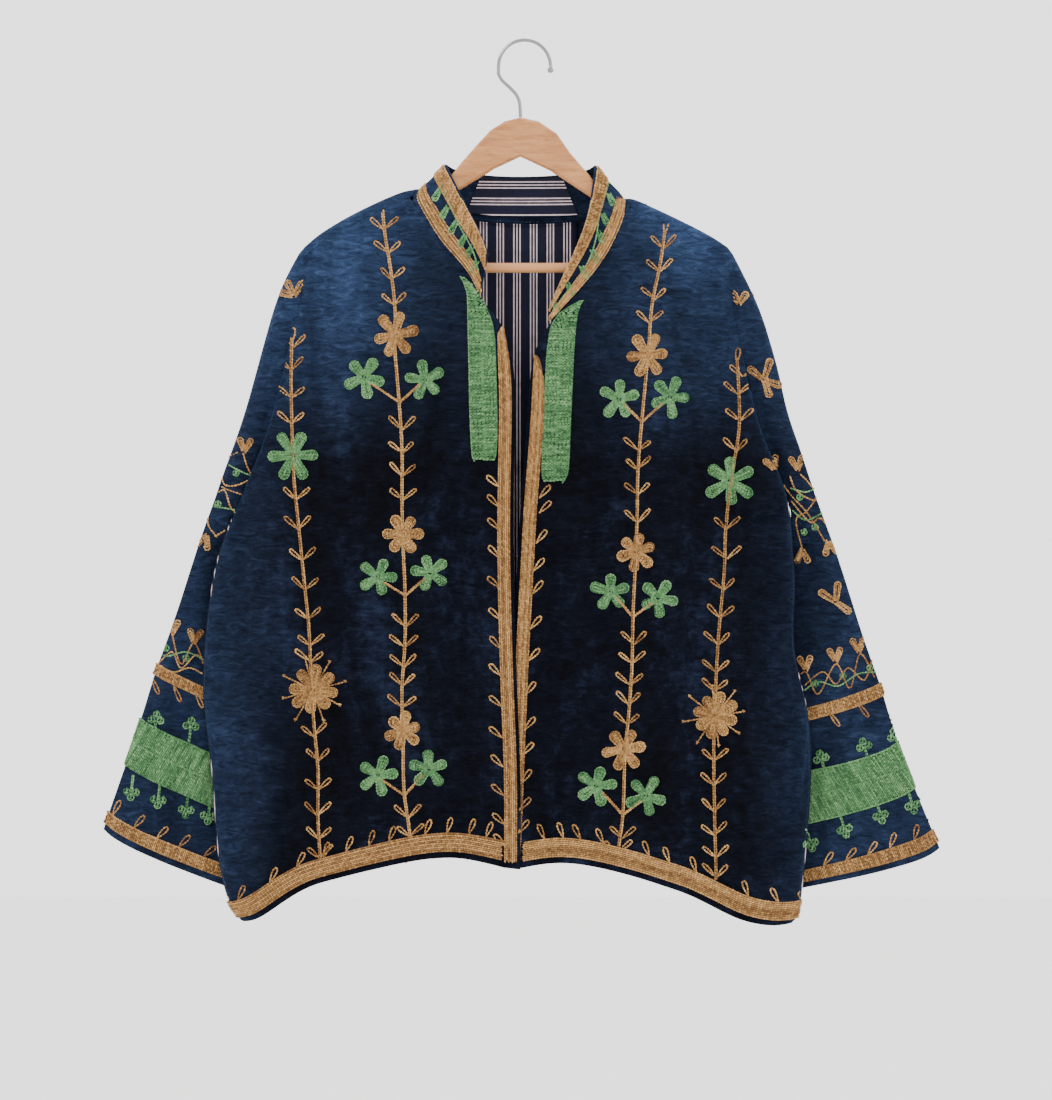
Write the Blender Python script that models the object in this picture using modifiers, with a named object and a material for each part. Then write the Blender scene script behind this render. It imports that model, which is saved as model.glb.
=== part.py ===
import math

import bpy
from mathutils import Vector

# A velvet jacket with worked bands, hung open on a wooden hanger.
# Tables are in millimetres from the inner top of the hanger's hook, as the viewer sees
# them: x to the viewer's right, y away from the viewer, z up. "right" and "left" in
# names are the wearer's, so the right front is on the viewer's left.
MM = 0.001
CLOTH_WALL = 1.6
COLLAR_WALL = 2.2
COLLAR_LIFT = 1.8
SEAM_GAP = 0.3
BAND_GAP = 0.3
BAND_WALL = 0.9
LINING_WALL = 0.8

# Depth of the hung body, half on each side of the hanger's plane.
ARM_DEPTH = 9.0
SEAM_DROP = 12.0
FRONT_SWELL = 24.0
BACK_SWELL = 18.0
SWELL_LENGTH = 110.0
FRONT_RIM = {"radius": 12.0, "share": 0.45, "reach": 120.0}
BACK_RIM = {"radius": 24.0, "share": 0.2, "reach": 150.0}
UNDERLAP = 5.0
FRONT_ARMHOLE = 3.0
BACK_ARMHOLE = 9.0
ARMHOLE_ROUND = 0.45
BACK_EDGE = 1.8

# Outlines of the two fronts, each line an (x, z) run: neck and shoulder from the centre
# edge to the sleeve, the rest from top to hem, and the hem from the centre to the side.
RIGHT_FRONT = {
    "neck": [(-45, -258), (-54, -237), (-68, -222), (-86, -203), (-101, -177), (-113, -158)],
    "shoulder": [(-113, -158), (-143, -170), (-183, -190), (-205, -204), (-220, -217)],
    "armhole": [(-220, -217), (-220, -245), (-230, -282), (-240, -325), (-253, -378),
                (-262, -405), (-276, -435), (-293, -476)],
    "side": [(-293, -476), (-307, -511), (-319, -585), (-322, -658), (-313, -725),
             (-309, -790), (-303, -845), (-290, -871), (-283, -879)],
    "centre": [(-45, -258), (-26, -272), (-15, -295), (-10, -324), (-9, -358), (-11, -490),
               (-8, -630), (-4, -728), (-4, -825)],
    "hem": [(-4, -825), (-18, -824), (-55, -815), (-80, -813), (-112, -817), (-165, -829),
            (-220, -844), (-246, -864), (-266, -876), (-283, -879)],
}
LEFT_FRONT = {
    "neck": [(23, -284), (30, -278), (49, -258), (72, -233), (90, -207), (106, -167)],
    "shoulder": [(106, -167), (145, -185), (183, -204), (203, -217)],
    "armhole": [(203, -217), (206, -240), (210, -268), (216, -306), (224, -345),
                (238, -395), (258, -438), (267, -468)],
    "side": [(267, -468), (266, -492), (272, -535), (271, -560), (266, -612), (276, -632),
             (287, -690), (286, -755), (280, -830), (275, -870), (269, -880)],
    "centre": [(23, -284), (11, -291), (8, -308), (5, -341), (2, -395), (-3, -450),
               (-8, -540), (-12, -610), (-16, -708), (-21, -824)],
    "hem": [(-21, -824), (0, -824), (22, -819), (42, -818), (68, -823), (98, -829),
            (149, -845), (179, -857), (203, -873), (220, -879), (246, -883), (269, -880)],
}
BACK_HEM = [(-283, -879), (-240, -858), (-170, -826), (-80, -809), (0, -808), (80, -816),
            (150, -836), (210, -868), (269, -880)]

# Back neck, column by column: x and z where the shoulder's wrap ends, how far the top of
# the column leans out from that x, where over the shoulder the column starts (0 at the
# front seam, 1 at the end of the wrap), and how high the wrap stands there.
NECK_COLUMN_NAMES = ("x", "z", "lean", "start", "rise")
BACK_NECK = [dict(zip(NECK_COLUMN_NAMES, row)) for row in (
    (-102, -163, -3, 0.5, 16), (-88, -173, -11, 0.84, 24), (-58, -182, -2, 0.84, 14),
    (-30, -185, 0, 0.84, 14), (-2, -186, 0, 0.84, 14), (25, -186, 0, 0.84, 14),
    (53, -184, 2, 0.84, 14), (81, -179, 11, 0.84, 24), (95, -171, 3, 0.5, 16),
)]
NECK_SWELL = {"x": -2, "z": -170, "width": 74, "height": 150, "depth": 17}

# Soft folds: each a ridge (out, positive) or trough (in) along a line on a panel.
FRONT_FOLDS = [
    {"x0": 262, "z0": -470, "x1": 205, "z1": -481, "width": 8, "out": -4.0},
    {"x0": 262, "z0": -489, "x1": 190, "z1": -497, "width": 9, "out": 3.0},
    {"x0": 138, "z0": -330, "x1": 128, "z1": -700, "width": 26, "out": 5.0},
    {"x0": 76, "z0": -400, "x1": 60, "z1": -823, "width": 24, "out": -5.0},
    {"x0": 38, "z0": -520, "x1": 40, "z1": -830, "width": 14, "out": -3.5},
    {"x0": -72, "z0": -380, "x1": -80, "z1": -820, "width": 24, "out": -6.0},
    {"x0": -150, "z0": -420, "x1": -160, "z1": -800, "width": 34, "out": 5.0},
    {"x0": -238, "z0": -640, "x1": -228, "z1": -860, "width": 22, "out": -5.0},
    {"x0": 205, "z0": -640, "x1": 196, "z1": -880, "width": 22, "out": -5.0},
    {"x0": -286, "z0": -470, "x1": -236, "z1": -492, "width": 9, "out": -3.0},
]
BACK_FOLDS = [
    {"x0": -120, "z0": -330, "x1": -140, "z1": -820, "width": 30, "out": -5.0},
    {"x0": -60, "z0": -420, "x1": -66, "z1": -820, "width": 26, "out": 4.0},
    {"x0": 20, "z0": -380, "x1": 24, "z1": -820, "width": 26, "out": -5.0},
    {"x0": 100, "z0": -420, "x1": 112, "z1": -830, "width": 28, "out": 4.0},
    {"x0": 160, "z0": -330, "x1": 176, "z1": -850, "width": 28, "out": -4.0},
]

# Rows of the body from top to hem, as shares of its height; the underarm is one of them,
# and the last ones are the borders of the hem band.
UNDERARM_ROW = 8
UNDERARM_SHARE = 0.4
NECK_ROW = 5
NECK_SHARE = 0.25
LOWER_STEPS = 10
HEM_BAND_TOP = 0.964
HEM_BAND_FOOT = 0.991

# Columns of a front: distances in from the centre edge, the same beside the neck, and
# distances in from the side. The tan band lies between the second and third, the green
# panel between the fourth and fifth.
CENTRE_COLUMNS = [0.0, 3.4, 16.4, 18.6, 42.5]
NECK_COLUMNS = {"right": [0.0, 1.4, 3.0, 4.4, 17.0], "left": [0.0, 1.4, 3.2, 4.6, 22.0]}
NECK_TURN = 0.1
SIDE_COLUMNS = [24.0, 12.0, 6.0, 1.6, 0.0]
INNER_STEPS = 8
SHOULDER_STEPS = 4
WRAP_STEPS = 6
GREEN_ROWS = (4, 9)
TAN_TOP_ROW = 6

# Collar: height shares of its two tan bands, and the run of its top edge.
COLLAR_ROWS = [0.0, 0.06, 0.33, 0.62, 0.96, 1.0]
COLLAR_TOP_RIGHT = [(-36, -27, -213), (-45, -25, -191), (-54, -21, -173), (-66, -16, -149),
                    (-75, -11, -131), (-80, -2, -121)]
COLLAR_TOP_BACK = [(-80, -2, -121), (-78, 8, -122), (-74, 16, -125), (-64, 23, -129),
                   (-36, 28, -132), (-4, 29, -133), (28, 28, -132), (56, 23, -129),
                   (66, 16, -126), (71, 8, -123), (72, -2, -121)]
COLLAR_TOP_LEFT = [(26, -12, -265), (32, -14, -252), (43, -18, -224), (59, -20, -191),
                   (66, -17, -158), (71, -11, -134), (72, -2, -121)]

# Sleeves: the outer edge down to the underarm, then rows below it, where o is the outer
# edge, i the hidden inner edge, front and back the fullness on each side, and bow how far
# the row sags between them. The last seven rows are borders of the worked bands.
SLEEVE_SIDES = 7
ARMHOLE_FULLNESS = {"front": 3.0, "back": 9.0}
ARMHOLE_GAP = (0.8, -0.3)
UNDERARM_SHIFT = (0, 3.6, -1.0)
SHOULDER_TIP_GAP = 1.6
RIGHT_UPPER_EDGE = [(-222, 0, -205), (-244, 3, -245), (-260, 4, -298), (-282, 6, -378),
                    (-297, 7, -418), (-312, 8, -462)]
LEFT_UPPER_EDGE = [(205, 0, -205), (222, 3, -238), (235, 4, -264), (246, 5, -299),
                   (256, 6, -334), (260, 6, -362), (277, 7, -409), (296, 8, -468)]
ROW_COLUMNS = ("ox", "oy", "oz", "ix", "iy", "iz", "front", "back", "bow")
RIGHT_SLEEVE = [
    (-326, 9, -500, -290, 20, -510, 2, 18, 0), (-340, 9, -545, -279, 23, -570, 5, 24, 0),
    (-353, 10, -585, -251, 36, -635, 6, 24, 1), (-367, 10, -622, -227, 41, -689, 8, 21, 2),
    (-371, 10, -633, -227, 41, -701, 8, 20, 2), (-384, 10, -677, -231, 41, -748, 8, 18, 3),
    (-400, 10, -724, -238, 40, -799, 8, 16, 4), (-416, 10, -770, -250, 39, -844, 8, 14, 6),
    (-420, 10, -782, -254, 38, -857, 8, 14, 7), (-422, 10, -788, -255, 38, -864, 8, 14, 7),
]
LEFT_SLEEVE = [
    (309, 9, -500, 264, 19, -508, 2, 18, 0), (324, 9, -545, 254, 23, -566, 5, 24, 0),
    (339, 10, -595, 229, 36, -632, 6, 24, 2), (356, 10, -641, 204, 41, -688, 8, 21, 4),
    (360, 10, -654, 204, 41, -701, 8, 20, 4), (373, 10, -700, 207, 41, -745, 8, 18, 8),
    (391, 10, -747, 213, 40, -801, 8, 16, 7), (408, 10, -788, 222, 39, -844, 8, 14, 7),
    (414, 10, -801, 225, 38, -854, 8, 14, 8), (416, 10, -807, 226, 38, -859, 8, 14, 8),
]
SLEEVE_BANDS = {"forearm_band": (3, 4), "green_band": (5, 6), "cuff_band": (7, 8)}

# Hanger: outline of the wood, bar and hook.
WOOD_DEPTH = 12.0
WOOD_ROUND = 3.5
WOOD_OUTLINE = [
    (-4, -76), (-20, -80), (-34, -89), (-48, -104), (-63, -121), (-70, -130), (-80, -142),
    (-96, -156), (-113, -160), (-128, -161), (-143, -162), (-183, -182), (-204, -196), (-212, -207), (-214, -224), (-208, -235),
    (-198, -236), (-195, -233), (-195, -218), (-180, -209), (-143, -189), (-113, -174),
    (-61, -146), (-30, -127), (-4, -115), (26, -129), (65, -155), (106, -181), (145, -200),
    (170, -212), (186, -219), (186, -234), (190, -237), (198, -236), (203, -225),
    (199, -212), (190, -202), (183, -196.5), (145, -177), (122, -173.5), (106, -171), (90, -163),
    (75, -148), (65, -134), (46, -112), (32, -92), (14, -80),
]
BAR_RADIUS = 5.0
BAR_Z = -226.0
BAR_SPAN = (-194.7, 185.7)
WIRE_RADIUS = 1.75
HOOK_RADIUS = 26.0
HOOK_TAIL = [(-26, -32), (-22.5, -38.5), (-14, -46.5), (-7.5, -54), (-4.8, -62), (-4, -75.6)]

COLORS = {
    "velvet": (0.012, 0.03, 0.09, 0.85, 0.0),
    "lining": (0.02, 0.03, 0.07, 0.8, 0.0),
    "tan_thread": (0.62, 0.4, 0.2, 0.7, 0.0),
    "green_thread": (0.2, 0.5, 0.25, 0.7, 0.0),
    "wood": (0.62, 0.36, 0.18, 0.4, 0.0),
    "steel": (0.7, 0.7, 0.72, 0.25, 1.0),
}


def clear_scene():
    for item in list(bpy.data.objects):
        bpy.data.objects.remove(item, do_unlink=True)


def make_material(name):
    red, green, blue, roughness, metallic = COLORS[name]
    made = bpy.data.materials.new(name)
    made.use_nodes = True
    shader = made.node_tree.nodes["Principled BSDF"]
    shader.inputs["Base Color"].default_value = (red, green, blue, 1.0)
    shader.inputs["Roughness"].default_value = roughness
    shader.inputs["Metallic"].default_value = metallic
    return made


def smooth_run(points, steps=8):
    """A smooth line through the points, as a dense run of vectors."""
    run = [Vector(point) for point in points]
    ends = [run[0] * 2 - run[1]] + run + [run[-1] * 2 - run[-2]]
    dense = []
    for index in range(len(run) - 1):
        a, b, c, d = ends[index:index + 4]
        for step in range(steps):
            t = step / steps
            dense.append(0.5 * (2 * b + (c - a) * t + (2 * a - 5 * b + 4 * c - d) * t ** 2
                                + (3 * b - a - 3 * c + d) * t ** 3))
    dense.append(run[-1])
    return dense


def run_length(run):
    return sum((b - a).length for a, b in zip(run, run[1:]))


def point_at(run, distance):
    for a, b in zip(run, run[1:]):
        step = (b - a).length
        if distance <= step:
            return a.lerp(b, distance / step if step else 0.0)
        distance -= step
    return run[-1].copy()


def share_at(run, share):
    return point_at(run, share * run_length(run))


def soft_step(value):
    value = min(max(value, 0.0), 1.0)
    return value * value * (3 - 2 * value)


def fold_height(folds, x, z):
    """How far the folds push the cloth out at a place on a panel."""
    height = 0.0
    for fold in folds:
        start = Vector((fold["x0"], fold["z0"]))
        run = Vector((fold["x1"], fold["z1"])) - start
        offset = Vector((x, z)) - start
        along = offset.dot(run) / run.length_squared
        across = abs(offset.x * run.y - offset.y * run.x) / run.length
        taper = soft_step((along + 0.25) / 0.5) * soft_step((1.25 - along) / 0.5)
        height += fold["out"] * taper * math.exp(-(across / fold["width"]) ** 2)
    return height


def shoulder_line(x):
    """Height of the shoulder seam's line at x, carried on level across the neck."""
    middle = -4
    return -158 - 0.56 * max(abs(x - middle) - 110, 0.0)


def swell(x, z, most):
    drop = max(shoulder_line(x) - z, 0.0)
    return ARM_DEPTH + most * (1 - math.exp(-drop / SWELL_LENGTH))


def rim_share(distance, rim):
    """How much of its full depth the cloth has at a distance in from its side edge."""
    turn = 1 - min(distance / rim["radius"], 1.0)
    return rim["share"] * math.sqrt(1 - turn * turn) + (1 - rim["share"]) * soft_step(
        distance / rim["reach"])


def body_rows():
    upper = [UNDERARM_SHARE * row / UNDERARM_ROW for row in range(UNDERARM_ROW)]
    span = HEM_BAND_TOP - UNDERARM_SHARE
    lower = [UNDERARM_SHARE + span * row / LOWER_STEPS for row in range(LOWER_STEPS + 1)]
    return upper + lower + [HEM_BAND_FOOT, 1.0]


def side_point(lines, share):
    """A point on the armhole or side line, and how far down the armhole it is."""
    if share <= UNDERARM_SHARE:
        down = share / UNDERARM_SHARE
        return share_at(lines["armhole"], down), down
    return share_at(lines["side"], (share - UNDERARM_SHARE) / (1 - UNDERARM_SHARE)), 1.0


def patch_run(top, hem, near, far, share, steps=60):
    """One row of a panel, blended between its four outlines."""
    corners = (top[0], top[-1], hem[0], hem[-1])
    row = []
    for step in range(steps + 1):
        u = step / steps
        across = share_at(top, u) * (1 - share) + share_at(hem, u) * share
        down = near * (1 - u) + far * u
        flat = ((corners[0] * (1 - u) + corners[1] * u) * (1 - share)
                + (corners[2] * (1 - u) + corners[3] * u) * share)
        row.append(across + down - flat)
    return row


def front_grid(side, outline, layer):
    """Rows of points of a front, from its neck and centre edge out to its side."""
    lines = {name: smooth_run(points) for name, points in outline.items()}
    neck = lines["neck"][::-1]
    last = SIDE_COLUMNS[0]
    grid = []
    for share in body_rows():
        if share <= NECK_SHARE:
            near = share_at(neck, share / NECK_SHARE)
        else:
            near = share_at(lines["centre"], (share - NECK_SHARE) / (1 - NECK_SHARE))
        far, down = side_point(lines, share)
        run = patch_run(lines["shoulder"], lines["hem"], near, far, share)
        length = run_length(run)
        turned = soft_step((share - NECK_SHARE) / NECK_TURN)
        places = [a + (b - a) * turned for a, b in zip(NECK_COLUMNS[side], CENTRE_COLUMNS)]
        first = places[-1]
        places += [first + (length - first - last) * step / INNER_STEPS
                   for step in range(1, INNER_STEPS)]
        places += [length - distance for distance in SIDE_COLUMNS]
        edge = SEAM_GAP / 2 + (ARM_DEPTH - SEAM_GAP / 2) * (1 - down) ** 1.3
        edge += FRONT_ARMHOLE * math.sin(math.pi * down) ** ARMHOLE_ROUND
        row = []
        for place in places:
            flat = point_at(run, place)
            full = swell(flat.x, flat.y, FRONT_SWELL)
            full -= layer * soft_step(1 - place / 160) * soft_step((share - 0.15) / 0.3)
            full += fold_height(FRONT_FOLDS, flat.x, flat.y) * soft_step((length - place) / 40)
            depth = edge + (full - edge) * rim_share(length - place, FRONT_RIM)
            row.append(Vector((flat.x, -depth, flat.y)))
        grid.append(row)
    return grid


def back_depth(x, z):
    neck = NECK_SWELL
    bulge = neck["depth"] * math.exp(-((x - neck["x"]) / neck["width"]) ** 2
                                     - ((z - neck["z"]) / neck["height"]) ** 2)
    return swell(x, z, BACK_SWELL) + bulge + fold_height(BACK_FOLDS, x, z)


def back_columns():
    """Columns of the back along the foot of the shoulder's wrap, side to side."""
    columns = []
    for outline, mirrored in ((RIGHT_FRONT, False), (LEFT_FRONT, True)):
        run = smooth_run(outline["shoulder"])
        length = run_length(run)
        places = [0.0] + [(length - SIDE_COLUMNS[0]) * step / SHOULDER_STEPS
                          for step in range(1, SHOULDER_STEPS)]
        places += [length - distance for distance in SIDE_COLUMNS]
        plain = {"lean": 0.0, "start": 0.0, "rise": SEAM_DROP}
        half = [(point_at(run, place), plain) for place in places]
        columns.append(half if mirrored else half[::-1])
    neck = [(Vector((row["x"], row["z"])), row) for row in BACK_NECK]
    return columns[0] + neck + columns[1]


def back_grid():
    """Rows of the back: over the shoulders from the front seam, then down to the hem."""
    columns = back_columns()
    foot = [place for place, _ in columns]
    grid = []
    for step in range(WRAP_STEPS):
        row = []
        for place, form in columns:
            done = step / WRAP_STEPS
            angle = math.pi * (form["start"] + (1 - form["start"]) * done)
            depth = ARM_DEPTH
            if math.cos(angle) < 0:
                depth += (back_depth(place.x, place.y) - ARM_DEPTH) * -math.cos(angle)
            lift = form["rise"] * math.sin(angle) ** 0.8
            across = place.x + form["lean"] * (1 - done)
            row.append(Vector((across, -depth * math.cos(angle), place.y + lift)))
        grid.append(row)
    for point in grid[0]:
        if point.y < -ARM_DEPTH + SEAM_GAP:
            point.z += SEAM_GAP * 3
    sides = [{name: smooth_run(points) for name, points in outline.items()}
             for outline in (RIGHT_FRONT, LEFT_FRONT)]
    hem = smooth_run(BACK_HEM)
    rim = SIDE_COLUMNS[0]
    length = run_length(foot)
    travelled = [run_length(foot[:index + 1]) for index in range(len(foot))]
    for share in body_rows():
        near, down = side_point(sides[0], share)
        far, _ = side_point(sides[1], share)
        run = patch_run(foot, hem, near, far, share)
        row_length = run_length(run)
        edge = BACK_EDGE + (ARM_DEPTH - BACK_EDGE) * (1 - down)
        edge += BACK_ARMHOLE * math.sin(math.pi * down) ** ARMHOLE_ROUND
        row = []
        for place in travelled:
            inward = (place - rim) / (length - 2 * rim)
            moved = rim + inward * (row_length - 2 * rim)
            if place < rim:
                moved = place
            if place > length - rim:
                moved = row_length - (length - place)
            flat = point_at(run, moved)
            aside = min(moved, row_length - moved)
            full = back_depth(flat.x, flat.y)
            reach = rim_share(aside, BACK_RIM)
            row.append(Vector((flat.x, edge + (full - edge) * reach, flat.y)))
        grid.append(row)
    return grid


def sleeve_row(front_seam, outer, back_seam, fullness, bow=0.0, beside_armhole=False):
    """One row of a sleeve: from the front seam out to the edge and back to the back seam."""
    row = []
    for place in range(2 * SLEEVE_SIDES + 1):
        angle = math.pi * min(place, 2 * SLEEVE_SIDES - place) / SLEEVE_SIDES
        share = math.sin(angle / 2) if beside_armhole else (1 - math.cos(angle)) / 2
        seam = front_seam if place <= SLEEVE_SIDES else back_seam
        point = seam.lerp(outer, share)
        if beside_armhole:
            point.y = seam.y + (outer.y - seam.y) * (1 - math.cos(angle / 2))
        turn = math.sin(angle)
        point.y += -fullness["front"] * turn if place <= SLEEVE_SIDES else fullness["back"] * turn
        point.z -= bow * math.sin(math.pi * math.sqrt(1 - share))
        row.append(point)
    return row


def sleeve_grid(front, back, column, upper_edge, lower):
    """Rows of a sleeve: open ones beside the armhole, then closed ones down to the cuff."""
    outward = math.copysign(1, upper_edge[0][0])
    gap = Vector((outward * ARMHOLE_GAP[0], 0, ARMHOLE_GAP[1]))
    edge = smooth_run(upper_edge)
    tip_gap = Vector((outward * SHOULDER_TIP_GAP, 0, 0))
    wrap = [back[step][column] + tip_gap for step in range(WRAP_STEPS + 1)]
    grid = [[share_at(wrap, place / (2 * SLEEVE_SIDES)) for place in range(2 * SLEEVE_SIDES + 1)]]
    for row in range(1, UNDERARM_ROW + 1):
        down = row / UNDERARM_ROW
        fullness = {
            "front": ARMHOLE_FULLNESS["front"] * math.sin(math.pi * down),
            "back": ARMHOLE_FULLNESS["back"] * down ** 2,
        }
        grid.append(sleeve_row(front[row][-1] + gap, share_at(edge, down),
                               back[WRAP_STEPS + row][column] + gap, fullness,
                               beside_armhole=row < UNDERARM_ROW))
    middle = grid[-1][0].lerp(grid[-1][-1], 0.5) + Vector(UNDERARM_SHIFT)
    grid[-1][0] = middle.copy()
    grid[-1][-1] = middle.copy()
    for values in lower:
        row = dict(zip(ROW_COLUMNS, values))
        inner = Vector((row["ix"], row["iy"], row["iz"]))
        outer = Vector((row["ox"], row["oy"], row["oz"]))
        grid.append(sleeve_row(inner, outer, inner, row, row["bow"]))
    return grid


def collar_grid(right, left, back):
    """Rows of the collar from its seam to its top, round from the right front's end."""
    shoulder = len(SIDE_COLUMNS) + SHOULDER_STEPS
    runs = [
        ([row[0] for row in right[NECK_ROW::-1]], smooth_run(COLLAR_TOP_RIGHT)),
        ([row for row in back[0][shoulder:shoulder + len(BACK_NECK)]],
         smooth_run(COLLAR_TOP_BACK)),
        ([row[0] for row in left[:NECK_ROW + 1]], smooth_run(COLLAR_TOP_LEFT)[::-1]),
    ]
    feet, tops = [], []
    for index, (feet_run, top_run) in enumerate(runs):
        if index == 1:
            shared = [runs[0][0][-1]] + feet_run + [runs[2][0][0]]
            total = run_length(shared)
            shares = [run_length(shared[:step + 1]) / total for step in range(1, len(shared) - 1)]
        else:
            total = run_length(feet_run)
            shares = [run_length(feet_run[:step + 1]) / total for step in range(len(feet_run))]
        feet += feet_run
        tops += [share_at(top_run, share) for share in shares]
    grid = []
    for share in COLLAR_ROWS:
        row = []
        for foot, top in zip(feet, tops):
            lifted = foot + (top - foot).normalized() * COLLAR_LIFT
            row.append(lifted.lerp(top, share))
        grid.append(row)
    return grid


def normals_of(grid, closed):
    """Outward directions at the points of a grid, as its faces are wound."""
    rows, columns = len(grid), len(grid[0])
    found = [[Vector() for _ in range(columns)] for _ in range(rows)]
    for row in range(rows - 1):
        for column in range(columns if closed else columns - 1):
            beside = (column + 1) % columns
            corners = [(row, column), (row, beside), (row + 1, beside), (row + 1, column)]
            a, b, c, d = [grid[i][j] for i, j in corners]
            face = (c - a).cross(d - b)
            for i, j in corners:
                found[i][j] += face
    return [[normal.normalized() for normal in row] for row in found]


class Maker:
    """Makes the named pieces in one collection."""

    def __init__(self, name):
        self.collection = bpy.data.collections.new(name)
        bpy.context.scene.collection.children.link(self.collection)
        self.materials = {key: make_material(key) for key in COLORS}

    def add(self, name, data, material):
        item = bpy.data.objects.new(name, data)
        data.materials.append(self.materials[material])
        self.collection.objects.link(item)
        return item

    def cloth(self, name, grid, material, wall, closed=False, out=0.0, flip=False):
        """A cloth wall on a grid, moved out from it and thickened away from its face."""
        sign = -1 if flip else 1
        points = grid
        if out:
            normals = normals_of(grid, closed)
            points = [[point + normal * (out * sign) for point, normal in zip(*pair)]
                      for pair in zip(grid, normals)]
        columns = len(grid[0])
        faces = []
        for row in range(len(grid) - 1):
            for column in range(columns if closed else columns - 1):
                beside = (column + 1) % columns
                face = [row * columns + column, row * columns + beside,
                        (row + 1) * columns + beside, (row + 1) * columns + column]
                faces.append(face[::-1] if flip else face)
        mesh = bpy.data.meshes.new(name)
        mesh.from_pydata([point * MM for row in points for point in row], [], faces)
        mesh.shade_smooth()
        item = self.add(name, mesh, material)
        weld = item.modifiers.new("weld", "WELD")
        weld.merge_threshold = 0.00001
        thicken = item.modifiers.new("wall", "SOLIDIFY")
        thicken.thickness = wall * MM
        thicken.offset = 1.0 if out > 0 else -1.0
        return item

    def tube(self, name, points, radius, material, sizes=None, sides=2):
        curve = bpy.data.curves.new(name, "CURVE")
        curve.dimensions = "3D"
        curve.bevel_depth = radius * MM
        curve.bevel_resolution = sides
        curve.use_fill_caps = True
        spline = curve.splines.new("POLY")
        spline.points.add(len(points) - 1)
        for index, (slot, point) in enumerate(zip(spline.points, points)):
            slot.co = (*(Vector(point) * MM), 1.0)
            slot.radius = sizes[index] if sizes else 1.0
        return self.add(name, curve, material)


def part_of(grid, rows, columns):
    return [row[columns[0]:columns[1] + 1] for row in grid[rows[0]:rows[1] + 1]]


def make_fronts(maker, grids):
    last = len(body_rows()) - 1
    for side, flip in (("right", False), ("left", True)):
        grid = grids[side]
        maker.cloth("front_" + side, grid, "velvet", CLOTH_WALL, flip=flip)
        band = part_of(grid, (TAN_TOP_ROW, last - 1), (1, 2))
        maker.cloth("front_band_" + side, band, "tan_thread", BAND_WALL, out=BAND_GAP, flip=flip)
        green = part_of(grid, GREEN_ROWS, (3, 4))
        maker.cloth("placket_" + side, green, "green_thread", BAND_WALL, out=BAND_GAP, flip=flip)
        hem = part_of(grid, (last - 2, last - 1), (3, len(grid[0]) - 2))
        maker.cloth("hem_band_" + side, hem, "tan_thread", BAND_WALL, out=BAND_GAP, flip=flip)


def make_back(maker, grid):
    maker.cloth("back", grid, "velvet", CLOTH_WALL)
    last = len(grid) - 1
    hem = part_of(grid, (last - 2, last - 1), (1, len(grid[0]) - 2))
    maker.cloth("hem_band_back", hem, "tan_thread", BAND_WALL, out=BAND_GAP)
    shoulder = len(SIDE_COLUMNS) + SHOULDER_STEPS
    first = shoulder + 2
    lining = part_of(grid, (1, WRAP_STEPS + UNDERARM_ROW), (first, first + len(BACK_NECK) - 5))
    maker.cloth("back_lining", lining, "lining", LINING_WALL, out=-(CLOTH_WALL + BAND_GAP))


def make_sleeves(maker, grids, back):
    places = {
        "right": (0, RIGHT_UPPER_EDGE, RIGHT_SLEEVE),
        "left": (len(back[0]) - 1, LEFT_UPPER_EDGE, LEFT_SLEEVE),
    }
    for side, flip in (("right", False), ("left", True)):
        grid = sleeve_grid(grids[side], back, *places[side])
        maker.cloth("sleeve_" + side, grid, "velvet", CLOTH_WALL, flip=flip)
        rings = [row[:-1] for row in grid[UNDERARM_ROW + 1:]]
        for name, (first, last) in SLEEVE_BANDS.items():
            material = "green_thread" if name == "green_band" else "tan_thread"
            maker.cloth(name + "_" + side, rings[first:last + 1], material, BAND_WALL,
                        closed=True, out=BAND_GAP, flip=flip)


def make_collar(maker, grid):
    maker.cloth("collar", grid, "velvet", COLLAR_WALL, flip=True)
    last = len(grid[0]) - 1
    lower = part_of(grid, (1, 2), (0, last))
    maker.cloth("collar_band_lower", lower, "tan_thread", BAND_WALL, out=BAND_GAP, flip=True)
    upper = part_of(grid, (3, 4), (0, last))
    maker.cloth("collar_band_upper", upper, "tan_thread", BAND_WALL, out=BAND_GAP, flip=True)
    first = NECK_ROW + 3
    facing = part_of(grid, (1, 4), (first, first + len(BACK_NECK) - 5))
    maker.cloth("collar_facing", facing, "lining", LINING_WALL, out=-(COLLAR_WALL + BAND_GAP),
                flip=True)


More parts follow.
